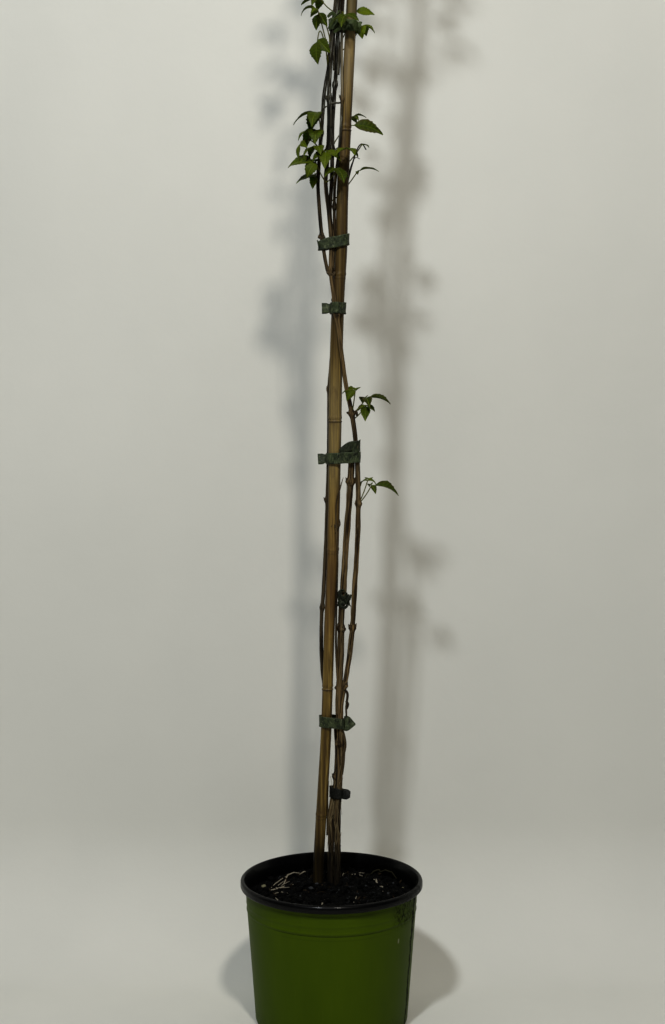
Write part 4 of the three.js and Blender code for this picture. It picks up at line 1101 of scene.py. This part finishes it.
LEAVES = [                        # stem, height on it, hub, bearing, rise, size, droop and what is special
  ["outer", 539, [41.7, 26, 558.5], -8, 2, 28, 58, {"roll": 24, "swings": [-60, 0, 112], "hang": 75,
   "share": 0.4, "fold": 34, "tone": 0.15, "edge": 0.5}],
  ["outer", 539, [38, 41, 563], 80, 20, 16, 50, {}],
  ["outer", 633, [24.5, 17, 657], 156, 14, 16, 66, {"roll": -34, "hang": 76, "share": 0.9, "broad": 1.3}],
  ["outer", 633, [36, 22, 649.5], -10, 8, 24, 52, {"roll": 10, "swings": [-75, 0, 114], "hang": 50,
   "share": 0.8, "fold": 40, "tone": 0, "edge": 0.6}],
  ["outer", 627, [36, 31, 642], -96, -34, 19, 44, {"hang": 60, "share": 0.6}],
  ["side", 920, [-13, 15, 939], 184, 2, 27, 64, {"swings": [-68, 0, 66], "share": 1.02}],
  ["side", 920, [-15, 19, 922], 200, 4, 22, 76, {"hang": 104, "share": 1.12, "broad": 1.15}],
  ["side", 903, [-31, 15, 910], 208, -66, 17, 40, {"way": [-21, 22, 918], "swings": [0, 62], "hang": 44,
   "share": 0.74, "broad": 0.95}],
  ["side", 898, [-14, 12, 905], 206, -10, 19, 64, {"swings": [-70, 0, 70], "hang": 78, "share": 0.95,
   "broad": 1.1}],
  ["outer", 871, [-16, 14, 889], 182, 13, 28, 62, {"roll": -40, "share": 0.7, "broad": 1.2}],
  ["side", 873, [-16, 28, 878], 184, -4, 20, 46, {"roll": -32, "share": 0.8}],
  ["outer", 888, [-5, 9, 900], -98, -36, 22, 50, {"hang": 60}],
  ["twin", 899, [18.5, 24, 928], -5, 2, 34, 60, {"way": [24, 42, 912], "roll": 58, "swings": [0],
   "broad": 0.86, "tone": 0.2, "edge": 0.7}],
  ["twin", 908, [21, 37, 939], 6, 26, 14, 64, {"way": [10, 43, 925], "tone": 0.1}],
  ["outer", 904, [15, 8, 902], -56, -4, 17, 60, {"swings": [-78, 0, 84], "hang": 62, "share": 0.95,
   "broad": 1.1, "tone": 0.6}],
  ["outer", 871, [5, 8, 882], -62, -24, 21, 50, {"way": [-2, 12, 868], "swings": [-72, 0, 72], "hang": 64,
   "broad": 1.15, "tone": 0.2}],
  ["twin", 852, [27, 26, 882], -4, 24, 20, 58, {"way": [8, 41, 856], "swings": [-100, 0, 100], "hang": 40,
   "share": 0.34, "tone": 0}],
  ["twin", 878, [31, 21, 908], -30, 6, 9, 70, {"way": [18, 44, 890], "swings": [0], "tone": 0}],
  ["side", 997, [-14, 11, 1041], 184, 26, 19, 108, {"way": [-9, 24, 1028], "share": 0.66}],
  ["side", 1010, [-13, 17, 1040], 190, -76, 16, 34, {"way": [-4, 18, 1030], "roll": -60, "swings": [0, 44],
   "hang": 30, "share": 1, "broad": 1.1, "tone": 0.1}],
  ["side", 988, [-14, 12, 1012], 236, -70, 23, 50, {"way": [-11, 8, 1036], "swings": [0, 46], "hang": 50,
   "share": 0.86, "fold": 10, "broad": 1.15, "tone": 0.3}],
  ["twin", 1006, [22.5, 28, 1043], -3, 6, 20, 44, {"way": [16, 38, 1026], "roll": 60,
   "swings": [-96, 0, 96], "share": 0.4, "tone": 0.9}],
  ["twin", 1001, [29.5, 31, 1029], -14, 6, 15.5, 74, {"way": [19, 40, 1010], "roll": 20,
   "swings": [-80, 0, 80], "hang": 96, "share": 1.1, "fold": 26, "broad": 1.3, "tone": 1}],
  ["left", 1041, [14, 6, 1035], -112, -34, 18, 40, {"swings": [-78, 0, 72], "hang": 52, "share": 0.95,
   "tone": 0.25}],
  ["side", 1042, [-11, 29, 1056], 166, 14, 20, 60, {}],
]


def stem_finish():
    finish = Finish("ribbed bark")
    fibre = finish.grain(finish.grown((1, 1, 0.05)), 1.4, 5, 0.7)
    band = finish.grain(finish.grown((0.8, 0.8, 0.03)), 2.2, 3, 0.6)
    patch = finish.grain(finish.place(0.5), 8, 4, 0.6)
    z = finish.axis(2)
    dark = finish.mark("dark")
    ridge = finish.step(band, 0.4, 0.62)
    weathered = finish.span(z, 860, 930, 1080, 1180) * finish.step(dark, 0.2, 0.6)
    pale = finish.step(z, 930, 980) * finish.fade(dark, 0.1, 0.35)
    # Darker towards the soil, with a ragged upper edge.
    darker_near_soil = finish.fade(z + patch * 30, 165, 212)
    colour = finish.coats(
        finish.mix(ridge, (40, 30, 16), (126, 104, 68)),
        (finish.step(fibre, 0.5, 0.64) * 0.85, (18, 12, 6)),
        (finish.step(patch, 0.58, 0.74) * 0.5, (136, 122, 94)),
        (dark * 0.88, finish.mix(ridge, (9, 7, 5), (58, 51, 38))),
        (weathered * 0.7, finish.mix(ridge, (18, 18, 14), (56, 56, 46))),
        (finish.fade(fibre, 0.38, 0.46) * weathered * 0.8, (136, 136, 126)),
        (pale * 0.75, finish.mix(ridge, (78, 74, 60), (128, 123, 106))),
        (finish.mark("peel"), finish.mix(fibre, (58, 46, 26), (156, 140, 104))),
        (darker_near_soil * 0.85, (13, 11, 8)))
    finish.paint(Base_Color=colour, Roughness=0.62 + fibre * 0.25,
                 Normal=finish.relief(fibre + band * 0.6, 0.45, 0.9), Specular_IOR_Level=0.12)
    return finish


bark = stem_finish()
for node, names in (("stem_left", ["left"]), ("stem_right", ["right", "outer", "twin", "side", "thread"])):
    wood = Form()
    for name in names:
        stem_tube(wood, name)
        buds(wood, name)
    for name, *string in STRINGS:
        if name in names:
            bark_string(wood, name, *string)
    for name, places, radius, tip in TWIGS:
        if name in names:
            twig(wood, places, radius, tip)
    wood.piece(node + "_bark", bark, node, "stem")

# Ties
# Dark green plastic tape, 11.5 mm wide, drawn tight round the cane and the stems. Each tie's two ends are
# pressed together and stand out as a short tab, and the band is creased where it is pinched. Three ties
# have loose folds of tape over them.

TAPE_HEIGHT = 11.5
TAPE_FILM = 0.5                   # thickness that shows
STRIP_FILM = 0.45
BAND_LEVELS = 10                  # across the band
STRIP_LEVELS = 6                  # across a loose end
WRAP_POINTS = 140                 # round what a tie holds
TAIL = (0.72, 0.82, 0.92, 0.98, 0.98, 0.98, 0.98)  # width of a tie's ends along them, as part of the band's
SCRAP_WIDTH = 4.2                 # width of the crumpled folds beside a tie
FOLD_WIDTH = 11                   # full width of the fold that slants over a tie
FOLD_DARK = 0.5


def hull(points):
    """The convex outline round a set of points, counterclockwise."""
    def chain(run):
        kept = []
        for point in run:
            while len(kept) > 1 and ((kept[-1][0] - kept[-2][0]) * (point[1] - kept[-2][1])
                                     - (kept[-1][1] - kept[-2][1]) * (point[0] - kept[-2][0])) <= 0.001:
                kept.pop()
            kept.append(point)
        return kept[:-1]
    run = sorted(points)
    return chain(run) + chain(run[::-1])


def wrap(tie, clearance):
    """The outline that the tape takes round what it holds, as evenly spaced points."""
    held = [strands[name] for name in tie["holds"]] + ([cane_strand] if tie.get("cane") else [])
    span = TAPE_HEIGHT / 2 + 1.5 + 8 * abs(tie["slope"])
    points = []
    for z in (tie["z"] - span, tie["z"], tie["z"] + span):
        for strand in held:
            x, y = between(strand["rows"], z), between(strand["rows"], z, 2)
            radius = 1.1 * between(strand["girth"], z) * swelling(strand, z) + clearance
            points += [(x + radius * math.cos(turn), y + radius * math.sin(turn)) for turn in bearings(36)]
    outline = hull(points)
    outline.append(outline[0])
    length = 0
    rows = [[length, *outline[0]]]
    for here, ahead in zip(outline, outline[1:]):
        length += math.dist(here, ahead)
        rows.append([length, *ahead])
    places = [length * spot / WRAP_POINTS for spot in range(WRAP_POINTS)]
    return [Vector((between(rows, place), between(rows, place, 2), 0)) for place in places]


def tape_band(form, tie, pinch, seed):
    """A closed turn of tape, creased near its pinch."""
    outline = wrap(tie, CLEARANCE)
    count = len(outline)
    middle = between(strands[tie["holds"][-1]]["rows"], tie["z"])
    crumple = tie.get("crumple", 1)
    rows = []
    for spot in range(count):
        here = outline[spot]
        run = (outline[(spot + 1) % count] - outline[spot - 1]).normalized()
        outward = Vector((run.y, -run.x, 0))
        near = bell((here - pinch).length, 4.5)
        row = []
        for layer in (1, 0):
            for level in range(BAND_LEVELS + 1)[::1 if layer else -1]:
                part = level / BAND_LEVELS - 0.5
                crease = 0.8 * crumple * rough(here.x / 3.5 + seed, here.y / 3.5, part * 1.8 * crumple)
                crease += 0.9 * near * rough(here.x / 1.5, here.y / 1.5, part * 6 + seed)
                curl = 0.9 * abs(part * 2) ** 6 * (0.4 + 0.6 * rough(here.x / 6, seed, here.y / 6))
                height = part * TAPE_HEIGHT * (1 - 0.22 * near)
                wave = 0.5 * rough(here.x / 7, here.y / 7, seed + 5)
                off = layer * TAPE_FILM + crease * 0.5 + max(0, curl) * 0.6 + 0.1
                place = here + outward * off
                place.z = tie["z"] + height + wave * crumple + tie["slope"] * (place.x - middle)
                row.append(form.point(place, edge=abs(part * 2), dark=tie.get("dark", 0.0)))
        rows.append(row)
    form.skin(rows + [rows[0]])


def tape_strip(form, path, widths, roll, dark):
    """A loose end of tape along a path, with its width at each point and its roll from point to point."""
    rows = []
    lean = Vector((0, 0.2, 1))
    for order, centre in enumerate(path):
        along = (path[min(order + 1, len(path) - 1)] - path[max(order - 1, 0)]).normalized()
        broad = (lean - along * along.dot(lean)).normalized()
        broad.rotate(Matrix.Rotation(roll * order, 3, along))
        flat = along.cross(broad)
        row = []
        for layer in (1, -1):
            for level in range(STRIP_LEVELS + 1)[::layer]:
                part = level / STRIP_LEVELS - 0.5
                lift = layer * STRIP_FILM / 2 + 0.5 * math.sin(part * 3.1 + order / 3)
                place = centre + broad * part * widths[order] + flat * lift
                row.append(form.point(place, edge=abs(part * 2), dark=dark))
        rows.append(row)
    form.tube(rows)


def tie_form(tie, order):
    """The tie's one or two turns of tape, its two ends and its loose folds."""
    form = Form()
    dark = tie.get("dark", 0.0)
    outward = polar(1, math.radians(tie["ends"]))
    sideways = Vector((-outward.y, outward.x, 0))
    edge = max(wrap(tie, CLEARANCE + TAPE_FILM), key=lambda place: place.dot(outward))
    middle = between(strands[tie["holds"][-1]]["rows"], tie["z"])
    for seed, band in enumerate(part for part in (tie, tie.get("turn")) if part):
        tape_band(form, band, edge, order * 3.7 + seed)
    for layer, sway in ((-0.42, -0.5), (0.42, 0.35)):
        path = []
        for step in range(len(TAIL)):
            part = step / (len(TAIL) - 1)
            place = edge + outward * (part * (tie["tab"] + 0.6) - 0.6)
            place += sideways * (layer * (1 + 0.5 * part) + sway * part ** 2)
            place.z = tie["z"] + tie["slope"] * (place.x - middle) + 0.3 * layer
            path.append(place)
        widths = [TAPE_HEIGHT * part for part in tie.get("tail", TAIL)]
        tape_strip(form, path, widths, 0.08 * layer, dark)
    for scrap in tie.get("scraps", ()):
        path = curve(scrap, 5)
        parts = [(step + 1) / (len(path) + 1) for step in range(len(path))]
        widths = [SCRAP_WIDTH * (0.4 + 0.6 * math.sin(math.pi * part)) for part in parts]
        tape_strip(form, path, widths, 0.16, dark)
    if "fold" in tie:
        path = curve(tie["fold"], 5)
        parts = [step / (len(path) - 1) for step in range(len(path))]
        widths = [FOLD_WIDTH * (0.36 + 0.64 * math.sin(math.pi * part / 2)) for part in parts]
        tape_strip(form, path, widths, 0.05, FOLD_DARK)
    return form


def tape_finish():
    finish = Finish("green tie tape")
    cloud = finish.grain(finish.place(), 5, 4, 0.6)
    crease = finish.grain(finish.place(0.5), 1.8, 5, 0.7, 0.8)
    greener = finish.step(finish.axis(2), 1004, 1014)
    colour = finish.coats(
        finish.mix(finish.step(cloud, 0.3, 0.7), (20, 28, 14), (64, 74, 46)),
        # Painted highlight on the crease ridges and painted shade in the folds, from the noise that also
        # bumps them.
        (finish.step(crease, 0.53, 0.65) * 0.55, (112, 118, 88)),
        (finish.fade(crease, 0.36, 0.46) * 0.65, (8, 12, 6)),
        (finish.step(finish.mark("edge"), 0.9, 1) * 0.3, (86, 94, 72)),
        (greener * 0.5, (70, 84, 40)),
        (finish.mark("dark"), finish.mix(crease, (8, 9, 7), (30, 30, 26))))
    finish.paint(Base_Color=colour, Roughness=0.42 + cloud * 0.2,
                 Normal=finish.relief(crease * 1.2 + cloud * 0.6, 0.7, 0.9), Specular_IOR_Level=0.25)
    return finish


tape = tape_finish()
for order, tie in enumerate(TIES):
    tie_form(tie, order).piece(tie["name"] + "_tape", tape, tie["name"], "tape")

# Leaves
# Each leaf has up to three toothed leaflets on a thin stalk that springs from a stem. They are thin and soft,
# folded along the rib and bowed to a drawn-out tip, green and slightly glossy above, paler under.

HALF_WIDTHS = [                   # along a leaflet, and its half width, as parts of its length
  [0, 0.012], [0.04, 0.065], [0.1, 0.145], [0.18, 0.215], [0.28, 0.26], [0.38, 0.272], [0.48, 0.252],
  [0.58, 0.216], [0.68, 0.172], [0.78, 0.124], [0.87, 0.078], [0.94, 0.038], [1, 0.004],
]
TEETH = [0.4, 0.53, 0.66]         # where along the leaflet their tips are
TOOTH_RISE = 0.1
TOOTH_FALL = 0.03
SWINGS = [-66, 0, 66]             # how far round each leaflet is from the middle one, in degrees
HANG = 92                         # how far a side leaflet bows, in degrees
SHARE = 0.82                      # length of a side leaflet, as part of the middle one's
FOLD = 16                         # of each half, upwards from the rib, in degrees
BLADE = 0.32                      # thickness of a leaf
VEINS = 8                         # on each side of the rib
COLUMNS = 5                       # from the rib to the edge
STALK_RADIUS = 0.62
CROWN_SEED = 20
DRAW_FACTOR = 16807
DRAW_RANGE = 2147483647
CROWN = [                         # strand, height, bearings of the pair of leaves, stalk and size
  ["side", 1097, [160, 262], 28, 30],
  ["twin", 1109, [55, 128], 30, 31],
  ["left", 1176, [-52, 36], 26, 28],
  ["outer", 1158, [196, 268], 27, 29],
  ["side", 1188, [112, 205], 26, 27],
  ["twin", 1210, [8, 104], 25, 26],
  ["outer", 1239, [248, 80], 22, 25],
  ["left", 1221, [-25], 20, 23],
  ["side", 1257, [175], 16, 20],
  ["twin", 1251, [45], 16, 20],
  ["outer", 1284, [20], 12, 18],
]

crown_draw = CROWN_SEED


def draw(low, high):
    """The same draw as the CAD's, which places the crown."""
    global crown_draw
    crown_draw = crown_draw * DRAW_FACTOR % DRAW_RANGE
    return low + (high - low) * crown_draw / DRAW_RANGE


def half_width(along, tooth_depth, side):
    """Half width of a leaflet of unit length, with its teeth."""
    width = smooth(HALF_WIDTHS, min(1, along))
    for tooth in TEETH:
        place = tooth + 0.02 * side
        if place - TOOTH_RISE < along <= place:
            width += tooth_depth * ((along - place + TOOTH_RISE) / TOOTH_RISE) ** 1.6
        elif place < along < place + TOOTH_FALL:
            width += tooth_depth * (1 - (along - place) / TOOTH_FALL) ** 2
    return width


def leaflet(form, hub, away, across, upward, length, start, bend, fold, broad, tone, edge, seed):
    """One leaflet: a thin folded blade with sunk veins, bowed from its foot to its tip."""
    loops = []
    count = 34 if length > 13 else 24
    root = hub + away * start
    tilt = 0.22 * rough(seed, 2, 0)
    sickle = 0.12 * rough(seed, 5, 0)
    tooth_depth = 0.044 + 0.02 * rough(seed, 9, 0)

    def bowed(along, aside, above):
        """A place of the blade and the way up from it, by how far off the middle of its bow it is."""
        turn = bend * along
        normal = upward * math.cos(turn) + away * math.sin(turn)
        place = (root + away * (length * math.sin(turn) / bend)
                 - upward * (length * (1 - math.cos(turn)) / bend)
                 + across * (aside + sickle * length * along ** 2 * 0.5) + normal * above)
        return place, normal

    for row in range(count + 1):
        rib = row / count
        up, down = [], []
        for column in range(-COLUMNS, COLUMNS + 1):
            out = abs(column) / COLUMNS
            side = (column > 0) - (column < 0)
            lead = 0.42 * smooth(HALF_WIDTHS, rib) * out * math.sin(math.pi * rib) ** 0.5
            along = min(1, rib + lead)
            width = half_width(along, tooth_depth, side) * length * out * broad
            vein = abs(math.sin(math.pi * (rib * VEINS + 0.12 * side))) ** 0.7
            pillow = 0.014 * length * (vein - 0.6) * math.sin(math.pi * min(1, out * 1.1)) ** 0.8
            ruffle = 0.03 * length * out ** 2 * rough(along * 3.5, side * 2 + seed, out)
            gutter = -0.008 * length * math.exp(-(out * 6) ** 2)
            angle = math.radians(fold) * (1 - 0.35 * out) + tilt * side * along
            above = width * math.sin(angle) + pillow + ruffle + gutter
            place, normal = bowed(along, side * width * math.cos(angle), above)
            half = BLADE / 2 * (1 - 0.45 * out)
            marks = {"rib": rib, "out": float(column) / COLUMNS, "off": float(width), "tone": tone,
                     "flush": edge * out ** 3}
            up.append(form.point(place + normal * half, under=0.0, **marks))
            down.append(form.point(place - normal * half, under=1.0, **marks))
        loops.append(up + down[::-1])
    form.tube(loops)
    places = [0.82 * step / 10 for step in range(11)]
    vein_path = [bowed(along, 0, -0.22)[0] for along in places]
    vein_radii = [0.42 * (1 - along) + 0.08 for along in places]
    bent_tube(form, [hub - away * 0.2 - upward * 0.15, (hub + vein_path[0]) / 2, *vein_path],
              [0.5, 0.46, *vein_radii], 6, under=1.0, tone=tone)


def leaf_form(order, on, z, hub, bearing, lift, size, droop, way=None, roll=0, fold=FOLD, swings=SWINGS,
              hang=HANG, share=SHARE, broad=1, tone=None, edge=0.15):
    """A stalk from a stem's place to the hub, and the leaflets there."""
    form = Form()
    foot = strand_point(strands[on], z)
    end = Vector(hub)
    middle = Vector(way) if way else (foot + end) / 2 - Vector((0, 0, 0.16 * (end - foot).length))
    flat, rise = polar(1, math.radians(bearing)), math.radians(lift)
    forward = flat * math.cos(rise) + Vector((0, 0, math.sin(rise)))
    side = Matrix.Rotation(math.radians(roll), 3, forward) @ Vector((-flat.y, flat.x, 0))
    upward = forward.cross(side)
    tone = 0.5 + 0.6 * rough(order * 1.7, 3, 0) if tone is None else tone
    path = [foot * (1 - part) ** 2 + middle * 2 * part * (1 - part) + end * part ** 2
            for part in [step / 16 for step in range(17)]]
    radii = [STALK_RADIUS * (1 + 1.5 * bell(step, 1.4) - 0.12 * step / 16) for step in range(17)]
    bent_tube(form, path, radii, 8, under=0.6, tone=tone, flush=0.5)
    for swing in swings:
        spin = Matrix.Rotation(math.radians(swing), 3, upward)
        length = size if swing == 0 else size * share
        bend = math.radians(droop if swing == 0 else hang)
        start = 0.14 * size if swing == 0 else 0.9
        leaflet(form, end, spin @ forward, spin @ side, upward, length, start, bend, fold, broad, tone, edge,
                order * 3.1 + swing / 40)
    return form


def crown_leaves():
    """Leaves above the photographed part, on the CAD's rule."""
    leaves = []
    for on, z, bearings, stalk, size in CROWN:
        for bearing in bearings:
            rows = strands[on]["rows"]
            turn = math.radians(bearing)
            rise = math.radians(draw(18, 38))
            hub = (between(rows, z) + stalk * math.cos(rise) * math.cos(turn),
                   between(rows, z, 2) + stalk * math.cos(rise) * math.sin(turn), z + stalk * math.sin(rise))
            lift, droop = draw(4, 26), draw(38, 64)
            facing = bearing + draw(-14, 14)
            leaves.append([on, z, hub, facing, lift, size * draw(0.92, 1.08), droop, {"hang": droop * 1.5}])
    return leaves


def leaf_finish():
    finish = Finish("clematis leaf")
    under = finish.step(finish.mark("under"), 0.3, 0.7)
    cloud = finish.grain(finish.place(), 7, 3)
    cells = finish.grain(finish.place(), 1.1, 4, 0.65)
    dark = finish.mix(cloud, (30, 40, 0), (48, 62, 0))
    light = finish.mix(cloud, (68, 82, 0), (94, 106, 4))
    spread = finish.mark("out").maths("ABSOLUTE")
    wave = (finish.mark("rib") * VEINS).maths("FRACT")
    near = (wave - 0.5).maths("ABSOLUTE")
    side_vein = finish.step(near, 0.4, 0.5) * finish.fade(spread, 0.6, 0.95) * 0.35
    mid_vein = finish.fade(finish.mark("off"), 0.15, 0.5) * 0.75
    vein = mid_vein.maths("MAXIMUM", side_vein)
    colour = finish.coats(
        finish.mix(finish.step(finish.mark("tone"), 0, 1), dark, light),
        (finish.step(cells, 0.5, 0.75) * 0.3, (84, 98, 10)),
        (finish.fade(cells, 0.3, 0.44) * 0.4, (22, 30, 0)),
        (vein, (104, 116, 30)),
        (under * 0.8, finish.mix(cloud, (58, 70, 18), (82, 94, 32))),
        (finish.mark("flush") * 0.8, (78, 54, 30)))
    finish.paint(Base_Color=colour, Roughness=0.5 + under * 0.2 + cells * 0.12, Specular_IOR_Level=0.12,
                 Normal=finish.relief(cells * 0.5 - vein * 0.5, 0.25, 0.7),
                 Subsurface_Weight=0.12, Subsurface_Radius=(0.4, 0.9, 0.15), Subsurface_Scale=0.0012)
    return finish


green_leaf = leaf_finish()
for order, (*plan, special) in enumerate(LEAVES + crown_leaves(), start=1):
    node = f"leaf_{order:02d}"
    leaf_form(order, *plan, **special).piece(node + "_blade", green_leaf, node, "leaf")

# Backdrop, lights and camera
# One sheet of pale paper lies under the pot and sweeps up behind it. From behind it is clear, so that it
# never hides the plant. Two soft lights stand high in front, one on each side, and throw two faint shadows.

WALL_BEHIND = 215
SWEEP_RADIUS = 150
PAPER_WIDTH = 4200
PAPER_HEIGHT = 3000
PAPER_FRONT = 1700
PAPER_COLUMNS = 70
FLOOR_STEP = 100
WALL_STEP = 60
SWEEP_STEPS = 16


def paper_form():
    """The sheet: a floor, a bend and a wall with faint ripples."""
    form = Form()
    bend_from = WALL_BEHIND - SWEEP_RADIUS
    floor_rows = int((PAPER_FRONT + bend_from) / FLOOR_STEP) + 1
    profile = [(-PAPER_FRONT + FLOOR_STEP * step, 0) for step in range(floor_rows)]
    for step in range(SWEEP_STEPS + 1):
        turn = step * math.pi / 2 / SWEEP_STEPS
        profile.append((bend_from + SWEEP_RADIUS * math.sin(turn), SWEEP_RADIUS * (1 - math.cos(turn))))
    wall_rows = int((PAPER_HEIGHT - SWEEP_RADIUS) / WALL_STEP)
    profile += [(WALL_BEHIND, SWEEP_RADIUS + WALL_STEP * step) for step in range(1, wall_rows)]
    rows = []
    for y, z in profile:
        row = []
        for column in range(PAPER_COLUMNS + 1):
            x = PAPER_WIDTH * (column / PAPER_COLUMNS - 0.5)
            ripple = 7 * rough(x / 260, z / 330 + 4, 0) + 2.5 * rough(x / 90, z / 120, 6)
            row.append(form.point((x, y + ripple * min(1, z / 200), z)))
        rows.append(row)
    form.skin(rows, around=False)
    return form


def paper_finish():
    finish = Finish("pale paper")
    cloud = finish.grain(finish.place(0.6), 260, 3)
    colour = finish.mix(cloud, (206, 206, 200), (222, 221, 214))
    tooth = finish.grain(finish.place(), 60, 4, 0.5)
    finish.paint(Base_Color=colour, Roughness=0.9, Normal=finish.relief(tooth, 2, 0.5))
    behind = finish.node("ShaderNodeNewGeometry", output="Backfacing")
    paper_side = Value(finish, finish.shader.outputs[0])
    clear = finish.node("ShaderNodeBsdfTransparent")
    sheet = finish.node("ShaderNodeMixShader", {}, {0: behind, 1: paper_side, 2: clear})
    finish.feed(finish.tree.nodes["Material Output"].inputs["Surface"], sheet)
    return finish


paper = add("paper_sweep", paper_form().mesh("paper_sweep"))
paper.data.materials.append(paper_finish().material)

LIGHT_DISTANCE = 2400
LIGHT_SIZE = 210
LIGHT_AIM = Vector((0, 0, 560))


def stand_light(name, side, rise, power, colour):
    """A soft light in front of the plant, by its bearing to the side and its height, in degrees."""
    turn, up = math.radians(side), math.radians(rise)
    out = Vector((math.sin(turn) * math.cos(up), -math.cos(turn) * math.cos(up), math.sin(up)))
    place = LIGHT_AIM + LIGHT_DISTANCE * out
    lamp = bpy.data.lights.new(name, "AREA")
    lamp.shape = "DISK"
    lamp.size = LIGHT_SIZE * MM
    lamp.energy = power
    lamp.color = colour
    light = add(name, lamp)
    light.location = place * MM
    light.rotation_euler = (LIGHT_AIM - place).to_track_quat("-Z", "Y").to_euler()


stand_light("left_light", -20, 43, 30, (0.93, 0.97, 1))
stand_light("right_light", 12, 46, 25, (1, 0.95, 0.86))

world = bpy.data.worlds.new("room")
world.use_nodes = True
world.node_tree.nodes["Background"].inputs["Color"].default_value = (0.92, 0.96, 1, 1)
world.node_tree.nodes["Background"].inputs["Strength"].default_value = 0.055
bpy.context.scene.world = world

CAMERA_PLACE = (1, -1558, 640)
CAMERA_PITCH = 3.95               # degrees down
CAMERA_LENS = 53.44
SENSOR = 36

lens = bpy.data.cameras.new("camera")
lens.sensor_fit = "AUTO"
lens.sensor_width = SENSOR
lens.lens = CAMERA_LENS
camera = add("camera", lens)
camera.location = Vector(CAMERA_PLACE) * MM
camera.rotation_euler = (math.radians(90 - CAMERA_PITCH), 0, 0)
bpy.context.scene.camera = camera
bpy.context.scene.view_settings.view_transform = "Standard"
bpy.context.scene.view_settings.gamma = 0.85
